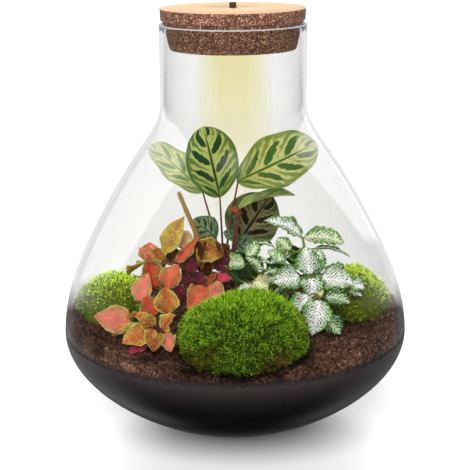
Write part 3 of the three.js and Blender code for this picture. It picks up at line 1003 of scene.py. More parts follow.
@dataclass
class Stopper:
    """The cork stopper with its coarse sides, the finer sanded top, and the bore in its middle for the
    switch.

    Attributes:
        grain: size of the granules.
        relief: how deep the sides' granules stand.
        segments: steps round the axis.
        plug_foot_radius: radius of the plug's foot.
        plug_top_radius: radius of the plug under the cap.
        pocket_radius: radius of the lamp's pocket.
        pocket_top: height of the pocket's roof.
        bore_radius: radius of the switch's bore.
        underside: height of the cap's underside.
        edge: size of the cork's worn edges.
        face_depth: thickness of the sanded face.
        pitch: distance between rows of corners down the seen sides.
    """

    grain: float = 0.9 * MM
    relief: float = 0.2 * MM
    segments: int = 480
    plug_foot_radius: float = 43.8 * MM
    plug_top_radius: float = 48.1 * MM
    pocket_radius: float = 30 * MM
    pocket_top: float = 286 * MM
    bore_radius: float = 2.5 * MM
    underside: float = 292 * MM
    edge: float = 0.5 * MM
    face_depth: float = 0.3 * MM
    pitch: float = 0.55 * MM

    def build(self) -> None:
        """Makes the cork, in a coarse piece for its sides and a fine one for its face."""
        low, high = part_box("cork_stopper")
        self._build_sides(low, high)
        self._build_face(high)

    def _build_sides(self, low: Vector, high: Vector) -> None:
        """Makes the coarse body, with close rows of corners where its side is seen.

        Args:
            low: the node's lowest corner.
            high: its highest.
        """
        bore, pocket, cap, edge = self.bore_radius, self.pocket_radius, high.x, self.edge
        face_foot = high.z - self.face_depth
        corners = np.array(
            [
                [bore, self.pocket_top],
                [pocket, self.pocket_top],
                [pocket, low.z],
                [self.plug_foot_radius - edge, low.z],
                [self.plug_foot_radius, low.z + edge],
                [self.plug_top_radius, self.underside],
                [cap - 3 * edge, self.underside],
                [cap - edge, self.underside + edge],
                [cap, face_foot],
                [bore, face_foot],
                [bore, self.pocket_top],
            ]
        )
        rows = [corners[:1]]
        for start, end in zip(corners, corners[1:]):
            seen = start[0] > pocket + edge and abs(end[1] - start[1]) > 2 * edge
            steps = max(1, round(float(np.linalg.norm(end - start)) / self.pitch)) if seen else 3
            shares = np.linspace(0, 1, steps + 1)[1:, None]
            rows.append(start + (end - start) * shares)
        vertices, faces = lathe(np.vstack(rows), self.segments)
        radius = np.hypot(vertices[:, 0], vertices[:, 1])
        outer = radius > pocket + 2 * edge
        grains = ripples(vertices[outer], [(1.0, 0.8 * self.grain), (0.6, 0.4 * self.grain)], 1.0)
        push = -self.relief * (0.5 - 0.5 * np.clip(grains, -1, 1))
        vertices[outer, :2] *= (1 + push / radius[outer])[:, None]
        cork = build_shell("cork_body", GranulatedCork("granulated_cork"), vertices, faces)
        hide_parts("cork_stopper")

    def _build_face(self, high: Vector) -> None:
        """Makes the sanded face.

        Args:
            high: the node's highest corner.
        """
        bore, cap, edge = self.bore_radius, high.x, self.edge
        face_foot = high.z - self.face_depth
        top = [
            [bore, face_foot],
            [cap - 0.1 * edge, face_foot],
            [cap, high.z - 0.5 * edge],
            [cap - 0.7 * edge, high.z],
            [0.6 * cap, high.z],
            [bore, high.z],
            [bore, face_foot],
        ]
        stops = ((0.0, "#cfa680"), (0.3, "#e0bc98"), (0.75, "#e7c8aa"), (1.0, "#efd5bb"))
        sanded = GranulatedCork("sanded_cork", stops=stops, seam="#d4ad8a", relief=0.1)
        face = build_shell("cork_face", sanded, *lathe(np.array(top), self.segments // 4))
        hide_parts("cork_stopper")


@dataclass
class Lamp:
    """The lamp in the plug: its CAD pieces in their own finishes, a moulded switch and the glow.

    Attributes:
        glow_radii: radii of the glow's layers at its top.
        glow_spread: how much wider each layer is at its foot.
        glow_rows: rings of corners in a layer.
        glow_segments: steps round the axis.
    """

    glow_radii: tuple[float, ...] = (10 * MM, 14 * MM, 18 * MM, 21 * MM, 24 * MM)
    glow_spread: float = 1.45
    glow_rows: int = 12
    glow_segments: int = 64

    def build(self) -> None:
        """Dresses the lamp's pieces and makes the switch and the glow."""
        finishes = {
            "lamp_housing": MouldedPlastic("lamp_white_abs"),
            "lamp_board": MouldedPlastic("board_white_mask", colour="#f3f0e2", roughness=0.5),
            "lamp_battery": SpunSteel("battery_steel"),
            "lamp_diffuser": LampLens("opal_lens"),
            "drainage_layer": FiredClay("pebble_clay"),
        }
        for node, finish in finishes.items():
            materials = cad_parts[node].data.materials
            materials.clear()
            materials.append(finish.material())
            LOG.info("%s: dressed", node)
        self._build_switch()
        self._build_glow()

    def _build_switch(self) -> None:
        """Makes the square push switch, its edges rounded and its top a little hollow."""
        low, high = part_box("lamp_switch")
        half = high.x
        knob_foot = high.z - 3.2 * MM
        stem_radius = 2.2 * MM
        sides = 48
        ring = circle(sides)
        # a square with rounded corners, as a superellipse
        power = 5.0
        square = ring * (np.sum(np.abs(ring) ** power, axis=1) ** (-1 / power))[:, None]
        rings = [
            (ring * ON_AXIS, low.z),
            (ring * stem_radius, low.z),
            (ring * stem_radius, knob_foot),
            (square * (half - 0.2 * MM), knob_foot),
            (square * half, knob_foot + 0.3 * MM),
            (square * half, high.z - 0.7 * MM),
            (square * (half - 0.15 * MM), high.z - 0.2 * MM),
            (square * (half - 0.6 * MM), high.z),
            (square * (half - 1.2 * MM), high.z - 0.15 * MM),
            (square * ON_AXIS, high.z - 0.3 * MM),
        ]
        rows = [laid(flat, height) for flat, height in rings]
        brown = MouldedPlastic("knob_brown", colour="#4a3226", roughness=0.6, sheen=0.2)
        faces = grid_faces(len(rows), sides, closed=True)
        switch = build_shell("switch_knob", brown, np.concatenate(rows), faces)
        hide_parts("lamp_switch")

    def _build_glow(self) -> None:
        """Makes the glow as thin nested layers, each a little wider than the last."""
        finish = LampGlow("lamp_glow")
        pile = MeshPile()
        shares = np.linspace(0, 1, self.glow_rows)
        heights = finish.top + (finish.foot - finish.top) * shares
        for radius in self.glow_radii:
            radii = radius * (1 + (self.glow_spread - 1) * shares)
            pile.add(*lathe(to_axis(np.column_stack([radii, heights])), self.glow_segments))
        glow = pile.build("lamp_glow", finish)


@dataclass
class Soil:
    """The soil: a bed with a crumbly top that meets the glass, loose crumbs and fibres.

    Attributes:
        gap: clearance to the glass.
        rings: rows of corners from the middle to the glass.
        segments: steps round the axis.
        crumbs: how many loose crumbs lie on it.
        wall_crumbs: how many crumbs press against the glass.
        fibres: how many coir fibres lie on it.
        bank: how much higher it lies against the glass at the left and right.
        bank_start: radius where it begins to rise.
        bank_width: how far out from there it rises in full.
        coated: height up to which the coat hides the bed's side, where fewer rows will do.
        lowest_crumb: height of the lowest crumbs against the glass.
        seed: start of the random draws.
        bed_level: height of the bed in the frame.
    """

    gap: float = 0.15 * MM
    rings: int = 100
    segments: int = 300
    crumbs: int = 9000
    wall_crumbs: int = 3800
    fibres: int = 2600
    bank: float = 13 * MM
    bank_start: float = 90 * MM
    bank_width: float = 28 * MM
    coated: float = 58 * MM
    lowest_crumb: float = 62 * MM
    seed: int = 11
    bed_level: float = field(init=False)

    def __post_init__(self) -> None:
        """Takes the bed's level from the frame."""
        self.bed_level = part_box("soil_bed")[1].z

    def level(self, places: np.ndarray) -> np.ndarray:
        """Height of the bed's top.

        Args:
            places: rows of x and y.

        Returns:
            The height at each place.
        """
        flat = np.column_stack([places, np.zeros(len(places))])
        radius = np.hypot(places[:, 0], places[:, 1])
        sides = np.abs(places[:, 0]) / np.maximum(radius, 1 * MM)
        bank = np.clip((radius - self.bank_start) / self.bank_width, 0, 1) ** 1.5
        rise = self.bank * bank * np.clip(sides - 0.45, 0, 1) / 0.55
        heaps = [(2.2 * MM, 21 * MM), (1.5 * MM, 8 * MM), (1.1 * MM, 3.4 * MM), (0.6 * MM, 1.7 * MM)]
        return self.bed_level - 0.6 * MM + rise + ripples(flat, heaps, 3.0)

    def build(self) -> None:
        """Makes the bed, the crumbs and the fibres."""
        rng = np.random.default_rng(self.seed)
        self._build_bed()
        self._build_crumbs(rng)
        self._build_fibres(rng)

    def _build_bed(self) -> None:
        """Makes the bed as one closed shell: its foot, its side along the glass and its top."""
        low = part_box("soil_bed")[0].z
        ring = circle(self.segments)
        rows = [laid(ring * ON_AXIS, low)]
        covered = np.linspace(low, self.coated, 10, endpoint=False)
        for height in [*covered, *np.linspace(self.coated, self.bed_level - 3 * MM, 14)]:
            radius = OUTLINE.radius_inside(height, self.gap)
            row = laid(ring * radius, height)
            hollow = ripples(row, [(0.9, 3.2 * MM), (0.6, 1.6 * MM)], 7.0)
            row[:, :2] *= (1 - MM * np.clip(0.5 + hollow, 0, 2) / radius)[:, None]
            rows.append(row)
        reach = OUTLINE.radius_inside(self.bed_level + self.bank, self.gap)
        shares = np.linspace(1, 0, self.rings) ** 0.85
        for share in shares:
            flat = ring * max(reach * share, ON_AXIS)
            level = self.level(flat)
            if share == shares[-1]:
                level[:] = level.mean()
            rows.append(np.column_stack([flat, level]))
        faces = grid_faces(len(rows), self.segments, closed=True)
        bed = build_shell("soil_ground", PottingSoil("potting_soil"), np.concatenate(rows), faces)
        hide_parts("soil_bed")

    def _scatter(self, rng: np.random.Generator, count: int) -> np.ndarray:
        """Draws places on the bed.

        Args:
            rng: the random draws.
            count: how many.

        Returns:
            Rows of x, y and the bed's height there.
        """
        reach = OUTLINE.radius_inside(self.bed_level, self.gap) - 2.0 * MM
        radius = reach * np.sqrt(rng.random(count))
        angle = 2 * math.pi * rng.random(count)
        flat = np.column_stack([radius * np.cos(angle), radius * np.sin(angle)])
        return np.column_stack([flat, self.level(flat)])

    def _build_crumbs(self, rng: np.random.Generator) -> None:
        """Makes the crumbs, on the bed and against the glass, as small broken lumps."""
        ball = np.array([(1, 0, 0), (-1, 0, 0), (0, 1, 0), (0, -1, 0), (0, 0, 1), (0, 0, -1)], float)
        upper = [(0, 2, 4), (2, 1, 4), (1, 3, 4), (3, 0, 4)]
        outward = np.array(upper + [(j, i, 5) for i, j, _ in upper])
        top = self._scatter(rng, self.crumbs)
        top_sizes = MM * (0.4 + 1.5 * rng.random(self.crumbs) ** 3)
        top[:, 2] += 0.35 * top_sizes
        wall_sizes = MM * (0.4 + 0.9 * rng.random(self.wall_crumbs) ** 2)
        highest = self.bed_level + self.bank + 2 * MM
        heights = rng.uniform(self.lowest_crumb, highest, self.wall_crumbs)
        radii = np.array([OUTLINE.radius_inside(h, self.gap) for h in heights]) - 1.3 * wall_sizes
        angles = rng.uniform(0, 2 * math.pi, self.wall_crumbs)
        wall = np.column_stack([radii * np.cos(angles), radii * np.sin(angles), heights])
        kept = heights < self.level(wall[:, :2]) + 1 * MM
        for name, places, sizes in (
            ("soil_crumbs", top, top_sizes),
            ("soil_wall_crumbs", wall[kept], wall_sizes[kept]),
        ):
            count = len(places)
            shapes = rng.uniform(0.6, 1.3, (count, len(ball), 1)) * ball
            shapes += rng.normal(0, 0.25, shapes.shape)
            corners = places[:, None, :] + shapes * sizes[:, None, None]
            numbers = np.arange(count)[:, None, None] * len(ball) + outward
            shells = (corners.reshape(-1, 3), numbers.reshape(-1, 3))
            crumbs = build_shell(name, PottingSoil("soil_crumbs", crumb=3.5 * MM), *shells, smooth=False)

    def _build_fibres(self, rng: np.random.Generator) -> None:
        """Makes the coir fibres as thin bent strands."""
        starts = self._scatter(rng, self.fibres)
        heading = rng.uniform(0, 2 * math.pi, self.fibres)
        lengths = MM * rng.uniform(2.0, 7.5, self.fibres)
        turns = rng.normal(0, 0.5, (self.fibres, 3))
        lifts = rng.uniform(0.1, 1.0, self.fibres)
        pile = MeshPile()
        limit = OUTLINE.radius_inside(self.bed_level, self.gap) - 0.5 * MM
        for i in range(self.fibres):
            angle = heading[i]
            spots = [starts[i, :2]]
            for turn in turns[i]:
                angle += turn
                step = lengths[i] / 3 * np.array([math.cos(angle), math.sin(angle)])
                spots.append(spots[-1] + step)
            flat = np.array(spots)
            if np.hypot(flat[:, 0], flat[:, 1]).max() > limit:
                continue
            rise = np.array([0.1, 0.5, 0.8, 0.4]) * lifts[i] * MM
            path = np.column_stack([flat, self.level(flat) + rise])
            pile.add(*tube(path, np.array([0.12, 0.16, 0.14, 0.06]) * MM, 3))
        stops = ((0.0, "#4a2c20"), (0.5, "#7a4f3a"), (0.8, "#a87a5c"), (1.0, "#cfae92"))
        fibres = pile.build("soil_fibres", PottingSoil("coir_fibre", stops=stops, crumb=4 * MM))


@dataclass
class MossCushion:
    """A moss cushion: a pad, dark with painted shade, under thousands of star-shaped shoots.

    Attributes:
        node: the cushion's node in the frame.
        finish: its finish.
        shoots: how many shoots it has.
        seed: start of the random draws.
        leaves: leaves of one shoot.
        length: usual length of a leaf.
        top_length: length of the leaves on top against that, where those at the foot have 0.75 of it.
        sunk: how far the shoots start inside the node's surface.
        outgrowth: how far it has crept past its node's foot towards the glass.
        towards: which way it has crept, right and back.
        hollow: where leaves press it down, right and back, and how deep, with 0 for not at all.
        hollow_radius: radius of that hollow.
        foot_width: distance from the foot's middle at which it has crept in full.
        lump: height of the cushion's lumps.
        leaf_width: half the width of a shoot's leaf.
        pad_grain: size of the pad's faces.
    """

    node: str
    finish: CushionMoss
    shoots: int
    seed: int
    leaves: int = 4
    length: float = 3.4 * MM
    top_length: float = 1.6
    sunk: float = 2.2 * MM
    outgrowth: float = 0.0
    towards: tuple[float, float] = (0.0, -1.0)
    hollow: Place = (0.0, 0.0, 0.0)
    hollow_radius: float = 17 * MM
    foot_width: float = 18 * MM
    lump: float = 1.4 * MM
    leaf_width: float = 0.21 * MM
    pad_grain: float = 1.6 * MM

    def build(self) -> None:
        """Makes the pad and its shoots."""
        rng = np.random.default_rng(self.seed)
        places, normals = self._sample(rng)
        low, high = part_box(self.node)
        centre = np.array([(low.x + high.x) / 2, (low.y + high.y) / 2, low.z])
        self._build_pad(centre)
        self._build_shoots(rng, places, normals, centre)

    def _grown(self, places: np.ndarray, centre: np.ndarray) -> tuple[np.ndarray, np.ndarray, np.ndarray]:
        """Moves the foot's outer half towards the glass, and presses the hollow in.

        Args:
            places: places on the node's surface.
            centre: middle of the node's foot.

        Returns:
            The moved places, how far lumps and shoots' feet stand out from each, and how high each
            stands in the cushion, from 0 to 1.
        """
        lumps = ripples(places, [(1.0, 13 * MM), (0.6, 5 * MM)], self.seed)
        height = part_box(self.node)[1].z - centre[2]
        rise = np.clip((places[:, 2] - centre[2]) / height, 0, 1)
        way = np.array([*self.towards, 0.0])
        beside = np.clip((places - centre) @ way / self.foot_width, 0, 1)
        moved = places + np.outer(self.outgrowth * beside * (1 - 0.8 * rise), way)
        away = np.hypot(*(places[:, :2] - self.hollow[:2]).T)
        moved[:, 2] -= self.hollow[2] * rise * np.exp(-((away / self.hollow_radius) ** 2))
        return moved, self.lump * lumps - self.sunk * (1 + rise**2), rise

    def _sample(self, rng: np.random.Generator) -> tuple[np.ndarray, np.ndarray]:
        """Draws places evenly over the node's sides and top.

        Args:
            rng: the random draws.

        Returns:
            Places and outward directions.
        """
        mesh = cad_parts[self.node].data
        mesh.calc_loop_triangles()
        corners = np.array([v.co for v in mesh.vertices])
        triangles = corners[np.array([t.vertices for t in mesh.loop_triangles])]
        crosses = np.cross(triangles[:, 1] - triangles[:, 0], triangles[:, 2] - triangles[:, 0])
        areas = np.linalg.norm(crosses, axis=1)
        areas[crosses[:, 2] < -0.5 * areas] = 0
        chosen = rng.choice(len(areas), self.shoots, p=areas / areas.sum())
        mix = rng.dirichlet((1, 1, 1), self.shoots)
        places = np.einsum("nk,nkc->nc", mix, triangles[chosen])
        middle = corners.mean(axis=0)
        rounded = unit(places - middle * np.array([1, 1, 0.9]))
        return places, unit(unit(crosses[chosen]) + 0.7 * rounded)

    def _build_pad(self, centre: np.ndarray) -> None:
        """Makes the pad under the shoots, a lumpy shrunken copy of the node, dark with painted shade.

        Args:
            centre: middle of the node's foot.
        """
        pad = bpy.data.objects.new(f"{self.node}_pad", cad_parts[self.node].data.copy())
        bpy.context.scene.collection.objects.link(pad)
        remesh = pad.modifiers.new("even", "REMESH")
        remesh.mode = "VOXEL"
        remesh.voxel_size = self.pad_grain
        evaluated = pad.evaluated_get(bpy.context.evaluated_depsgraph_get())
        pad.modifiers.clear()
        pad.data = bpy.data.meshes.new_from_object(evaluated)
        places = np.empty(len(pad.data.vertices) * 3, np.float32)
        pad.data.vertices.foreach_get("co", places)
        places = places.reshape(-1, 3).astype(float)
        outward = unit(places - centre)
        places, stand_out, _ = self._grown(places, centre)
        places += outward * (stand_out - 0.5 * MM)[:, None]
        places[:, 2] = np.maximum(places[:, 2], centre[2] - 2 * MM)
        pad.data.vertices.foreach_set("co", places.astype(np.float32).ravel())
        pad.data.polygons.foreach_set("use_smooth", np.full(len(pad.data.polygons), True))
        # the pad takes the colour of the shoots' feet, dark with painted shade
        for name, value in (("tip", 0.12), ("tone", 0.5), ("age", 0.15)):
            attribute = pad.data.attributes.new(name, "FLOAT", "POINT")
            attribute.data.foreach_set("value", np.full(len(pad.data.vertices), value, np.float32))
        pad.data.materials.clear()
        pad.data.materials.append(self.finish.material())
        pad.data.update()
        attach(pad, BODY)
        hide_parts(self.node)
        LOG.info("%s: %d faces", pad.name, len(pad.data.polygons))

    def _build_shoots(
        self, rng: np.random.Generator, places: np.ndarray, normals: np.ndarray, centre: np.ndarray
    ) -> None:
        """Makes the shoots, each a star of thin keeled leaves that spread from its axis.

        Args:
            rng: the random draws.
            places: places on the node's surface.
            normals: outward directions there.
            centre: middle of the node's foot.
        """
        places, stand_out, rise = self._grown(places, centre)
        roots = places + normals * stand_out[:, None]
        lean = np.stack([ripple(places, 7 * MM, self.seed + k) for k in (2, 3, 4)], axis=1)
        axes = unit(normals + 0.6 * lean + np.array([0, 0, 0.35]) + rng.normal(0, 0.25, places.shape))
        lengths = self.length * (0.75 + (self.top_length - 0.75) * rise**1.5)
        lengths *= rng.uniform(0.7, 1.3, len(places))
        # painted light: the tone brightens towards the top of the cushion, over a random clump tone
        clump_and_top_light = 0.16 + 0.56 * rise**1.2 + 0.22 * ripple(places, 9 * MM, self.seed + 5)
        clump_and_top_light += rng.normal(0, 0.3, len(places))
        old = np.clip(1.6 * ripple(places, 16 * MM, self.seed + 6) + 0.75 - 1.6 * rise, 0, 1)

        shoot = np.repeat(np.arange(len(places)), self.leaves)
        count = len(shoot)
        length = lengths[shoot] * rng.uniform(0.75, 1.15, count)
        spread = (0.85 - 0.5 * rise[shoot]) * rng.uniform(0.3, 1.2, count)
        axis = axes[shoot]
        aside = unit(np.cross(axis, rng.normal(size=(count, 3))))
        way = unit(axis + aside * spread[:, None])
        across = unit(np.cross(way, aside))
        width = self.leaf_width * rng.uniform(0.7, 1.4, count)[:, None]
        foot = roots[shoot] + axis * (rng.uniform(0, 0.45, count) * length)[:, None]
        tip = foot + way * length[:, None]
        belly = foot + way * (0.6 * length)[:, None]
        keel = belly + np.cross(way, across) * width
        leaf = np.stack([foot, belly + across * width, belly - across * width, keel, tip], axis=1)
        faces = np.array([[0, 2, 1], [0, 1, 3], [0, 3, 2], [1, 2, 4], [3, 1, 4], [2, 3, 4]])
        numbers = np.arange(count)[:, None, None] * 5 + faces
        tones_and_top_light = np.clip(clump_and_top_light[shoot] + rng.normal(0, 0.2, count), 0, 1)
        pile = MeshPile("tip", "tone", "age")
        # tip runs from the foot, dark with painted shade, to the bright point
        pile.add(
            leaf.reshape(-1, 3),
            numbers.reshape(-1, 3),
            tip=np.tile([0.1, 0.62, 0.62, 0.62, 1.0], count),
            tone=np.repeat(tones_and_top_light, 5),
            age=np.repeat(old[shoot], 5),
        )
        shoots = pile.build(f"{self.node}_shoots", self.finish, smooth=False)
        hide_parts(self.node)


class Outline(Enum):
    """A leaf's outline, as the powers that shape its half-width along the midrib."""

    BROAD = (0.92, 0.62)
    OVAL = (0.8, 0.8)
    FULL = (0.86, 0.62)
    BLUNT = (1.14, 0.5)
    POINTED = (0.76, 0.95)

    def half_width(self, share: np.ndarray) -> np.ndarray:
        """The half-width as a share of the widest, at each share of the length."""
        skew, fullness = self.value
        return np.clip(np.sin(math.pi * np.clip(share, 0, 1) ** skew), 0, 1) ** fullness


@dataclass(frozen=True)
class Habit:
    """How a leaf has grown, beyond its place, length and width.

    Attributes:
        outline: its outline.
        cup: how far its edges rise, as a share of the half-width.
        fold: how far its halves rise from the midrib, as a share of the half-width.
        droop: how far its tip hangs, as a share of the length.
        twist: turn of the tip about the midrib, in degrees.
        wave: height of the margin's waves in millimetres.
        waves: how many waves the margin has.
        quilt: height of the puckers between side veins in millimetres.
        side_veins: side veins on each half.
        sweep: how far a side vein runs on towards the tip, as a share of the length.
        scallop: depth of the margin's scallops, as a share of the half-width.
        thickness: the blade's thickness in millimetres.
        width: the blade's width against its node's.
        base_by: how far its base has grown from its node's, right, back and up, in millimetres.
        tip_by: the same for its tip.
        turned: whether the whole leaf has turned its face up and to the front.
    """

    outline: Outline = Outline.FULL
    cup: float = 0.14
    fold: float = 0.1
    droop: float = 0.0
    twist: float = 0.0
    wave: float = 0.5
    waves: float = 2.5
    quilt: float = 0.25
    side_veins: float = 6
    sweep: float = 0.3
    scallop: float = 0.0
    thickness: float = 0.5
    width: float = 1.0
    base_by: Place = STILL
    tip_by: Place = STILL
    turned: bool = False

    def sized(self, width: float, base_by: Place = STILL, tip_by: Place = STILL, **changes: float) -> "Habit":
        """The habit of a leaf with a width and moves of its own. See Habit's attributes."""
        return replace(self, width=width, base_by=base_by, tip_by=tip_by, **changes)

    def varied(self, seed: int) -> "Habit":
        """The habit with the small differences that no two leaves share.

        Args:
            seed: start of the random draws.

        Returns:
            The changed habit.
        """
        draw = np.random.default_rng(seed).uniform(-1, 1, 5)
        return replace(
            self,
            cup=self.cup + 0.08 * draw[0],
            fold=self.fold + 0.09 * draw[1],
            droop=self.droop + 0.05 + 0.06 * draw[2],
            twist=self.twist + 14 * draw[3],
            wave=self.wave * (1.25 + 0.5 * draw[4]),
        )


@dataclass(frozen=True, eq=False)
class LeafLine:
    """Where a leaf lies.

    Attributes:
        base: where its stalk ends.
        bend: the middle control point of its curved midrib.
        tip: its other end.
        side: the way across it.
        half_width: half its greatest width.
    """

    base: np.ndarray
    bend: np.ndarray
    tip: np.ndarray
    side: np.ndarray
    half_width: float

    @classmethod
    def of_node(cls, name: str, stem: np.ndarray, outline: Outline) -> "LeafLine":
        """Reads a leaf's node.

        Args:
            name: the node.
            stem: corners of the plant's stems, which the base lies next to.
            outline: the outline that the node was drawn with.

        Returns:
            The leaf's lines.
        """
        corners = node_corners(name)
        gaps = np.linalg.norm(corners[:, None] - corners[None], axis=2)
        ends = corners[list(np.unravel_index(int(gaps.argmax()), gaps.shape))]
        reach = [np.linalg.norm(stem - end, axis=1).min() for end in ends]
        base, tip = ends if reach[0] < reach[1] else ends[::-1]
        length = np.linalg.norm(tip - base)
        shares = (corners - base) @ (tip - base) / length**2
        bends, sides, halves = [], [], []
        for station in (0.2, 0.4, 0.6, 0.8):
            ring = corners[np.argsort(np.abs(shares - station))[:4]]
            apart = np.linalg.norm(ring[:, None] - ring[None], axis=2)
            left, right = np.unravel_index(int(apart.argmax()), apart.shape)
            crown = [ring[k] for k in range(4) if k not in (left, right)]
            middle = (crown[0] + crown[1]) / 2
            weight = 2 * station * (1 - station)
            bends.append((middle - (1 - station) ** 2 * base - station**2 * tip) / weight)
            span = ring[left] - ring[right]
            sides.append(span if not sides or np.dot(span, sides[0]) > 0 else -span)
            halves.append(np.linalg.norm(span) / 2 / outline.half_width(np.array(station)))
        return cls(base, np.mean(bends, axis=0), tip, unit(np.sum(sides, axis=0)), float(np.mean(halves)))

    @classmethod
    def between(cls, base: Sequence[float], tip: Sequence[float], width: float, arch: float) -> "LeafLine":
        """Lays a small leaf between two places.

        Args:
            base: place of its base in millimetres.
            tip: place of its tip in millimetres.
            width: its width in millimetres.
            arch: rise of its midrib, as a share of its length.

        Returns:
            The leaf's lines.
        """
        start, end = np.array(base, float) * MM, np.array(tip, float) * MM
        rise = np.array([0, 0, 2 * arch * np.linalg.norm(end - start)])
        side = unit(np.cross(end - start, FACE_WAY))
        return cls(start, (start + end) / 2 + rise, end, side, width / 2 * MM)

    def grown(self, habit: Habit) -> "LeafLine":
        """Moves the lines' ends as the leaf has grown."""
        starts, ends = np.array(habit.base_by) * MM, np.array(habit.tip_by) * MM
        base, tip = self.base + starts, self.tip + ends
        side = unit(np.cross(tip - base, FACE_WAY)) if habit.turned else unit(self.side)
        return replace(self, base=base, bend=self.bend + (starts + ends) / 2, tip=tip, side=side)

    def centre(self, share: np.ndarray) -> np.ndarray:
        """Places along the midrib, at each share of the length."""
        s = share[:, None]
        return (1 - s) ** 2 * self.base + 2 * s * (1 - s) * self.bend + s**2 * self.tip


@dataclass
class Leaf:
    """One leaf: a thin closed blade, bent, cupped and puckered as it has grown.

    Attributes:
        name: the piece's name.
        line: where it lies.
        habit: how it has grown.
        finish: its finish.
        rows: corners along it.
        columns: corners across it.
        phase: moves its waves, so that two leaves differ.
        groove: depth of the groove along its midrib.
        groove_width: how far out from the midrib the groove fades.
    """

    name: str
    line: LeafLine
    habit: Habit
    finish: Finish
    rows: int = 46
    columns: int = 21
    phase: float = 0.0
    groove: float = 0.25 * MM
    groove_width: float = 0.5 * MM

    def build(self) -> bpy.types.Object:
        """Makes the leaf.

        Returns:
            The new object.
        """
        share = np.linspace(0, 1, self.rows)
        edge = np.linspace(-1, 1, self.columns)
        top, half = self._upper_side(share, edge)
        along = np.stack([np.gradient(top[..., k], axis=0) for k in range(3)], axis=-1)
        across = np.stack([np.gradient(top[..., k], axis=1) for k in range(3)], axis=-1)
        up = unit(np.cross(along, across))
        up = up if np.sum(up @ FACE_WAY) >= 0 else -up
        taper = np.clip((1 - np.abs(edge[None, :]) ** 6) * 0.75 + 0.25, 0, 1)
        under = top - up * (self.habit.thickness * MM * taper)[..., None]
        pile = MeshPile("share", "edge", "along", "across")
        length = np.linalg.norm(self.line.tip - self.line.base) / MM
        values = {
            "share": np.repeat(share, self.columns),
            "edge": np.tile(edge, self.rows),
            "along": np.repeat(share * length, self.columns),
            "across": np.outer(half / MM, edge).ravel(),
        }
        # the underside is the same grid again, and a strip round the border joins the two
        count = self.rows * self.columns
        faces = grid_faces(self.rows, self.columns, closed=False)
        corner = np.arange(count).reshape(self.rows, self.columns)
        border = np.concatenate([corner[0, :-1], corner[:-1, -1], corner[-1, :0:-1], corner[:0:-1, 0]])
        after = np.roll(border, -1)
        rim = np.stack([border, border + count, after + count, after], axis=1)
        shell = np.concatenate([top.reshape(-1, 3), under.reshape(-1, 3)])
        doubled = {name: np.tile(value, 2) for name, value in values.items()}
        pile.add(shell, np.concatenate([faces, faces[:, ::-1] + count, rim]), **doubled)
        return pile.build(self.name, self.finish)

    def _upper_side(self, share: np.ndarray, edge: np.ndarray) -> tuple[np.ndarray, np.ndarray]:
        """Places of the upper side.

        Args:
            share: shares of the length.
            edge: shares of the half-width, from -1 to 1.

        Returns:
            A grid of places, and the half-width at each share of the length.
        """
        habit, line = self.habit, self.line
        length = np.linalg.norm(line.tip - line.base)
        centre = line.centre(share)
        tangent = unit(np.gradient(centre, axis=0))
        side = unit(line.side - tangent * (tangent @ line.side)[:, None])
        up = np.cross(side, tangent)
        up = up if np.sum(up @ FACE_WAY) >= 0 else -up
        turn = np.radians(habit.twist) * share[:, None]
        side, up = side * np.cos(turn) + up * np.sin(turn), up * np.cos(turn) - side * np.sin(turn)
        hang = np.clip((share - 0.45) / 0.55, 0, 1) ** 2
        centre = centre - up * (habit.droop * length * hang)[:, None]
        half = line.half_width * habit.width * habit.outline.half_width(share)
        half = np.maximum(half, 0.35 * MM * (1 - share) + 0.08 * MM)
        s, v = share[:, None], edge[None, :]
        out = np.abs(v)
        vein = (s - habit.sweep * out) * habit.side_veins
        scallops = 1 + habit.scallop * np.cos(2 * math.pi * vein) * out**3 * np.sin(math.pi * s)
        across = half[:, None] * v * scallops
        sway = np.sin(2 * math.pi * habit.waves * s + self.phase + 1.3 * np.sign(v))
        rise = half[:, None] * (habit.cup * out**2 + habit.fold * out)
        rise = rise + habit.wave * MM * out**2.5 * sway * np.sin(math.pi * s) ** 0.5
        pucker = np.abs(np.sin(math.pi * vein)) ** 0.7
        rise = rise + habit.quilt * MM * pucker * np.minimum(1, 4 * out) * np.sin(math.pi * s) ** 0.5
        rise = rise - self.groove * np.exp(-((half[:, None] * v / self.groove_width) ** 2))
        grid = centre[:, None] + side[:, None] * across[..., None] + up[:, None] * rise[..., None]
        return grid, half


def by_last_word(*looks: Finish) -> dict[str, Finish]:
    """Finishes by the last word of their names."""
    return {look.name.split("_")[-1]: look for look in looks}


# Colours in the order of CalatheaBlade: field, fine lines, ovals, margin, rim
CALATHEA_LOOKS = by_last_word(
    CalatheaBlade("calathea_bright"),
    # pale: a washed-out copy for the left leaf, partly painted reflection of the glass in front of it
    CalatheaBlade("calathea_pale", "#e4e4be", "#b4be88", "#7a9a68", "#94ac6c", "#86a05a"),
    CalatheaBlade("calathea_broad", "#d4d49c", "#8a9a50", "#355f26", "#5f8032", "#7c8f40"),
    CalatheaBlade("calathea_underside", "#ccd694", "#86a050", "#7a9648", "#93a860", "#6f8440", paleness=0.4),
    replace(
        # shaded: a darker copy for the leaf beneath the others, painted shade
        CalatheaBlade("calathea_shaded", "#dcd09c", "#2a2410", "#120d08", "#2f4a1e", "#4f6a2c"),
        paleness=0.1,
        margin_start=0.66,
    ),
    PlantStem("calathea_sheath", low="#4a1f1c", high="#6a2f28"),
    PlantStem("calathea_blush", low="#a44e2c", high="#a44e2c"),
    # deep: a darker copy for the low and back leaves, painted shade
    CalatheaBlade("calathea_deep", "#c4d0b4", "#35583c", "#1c4028", "#2c5a34", "#3c6a40", paleness=0.25),
)

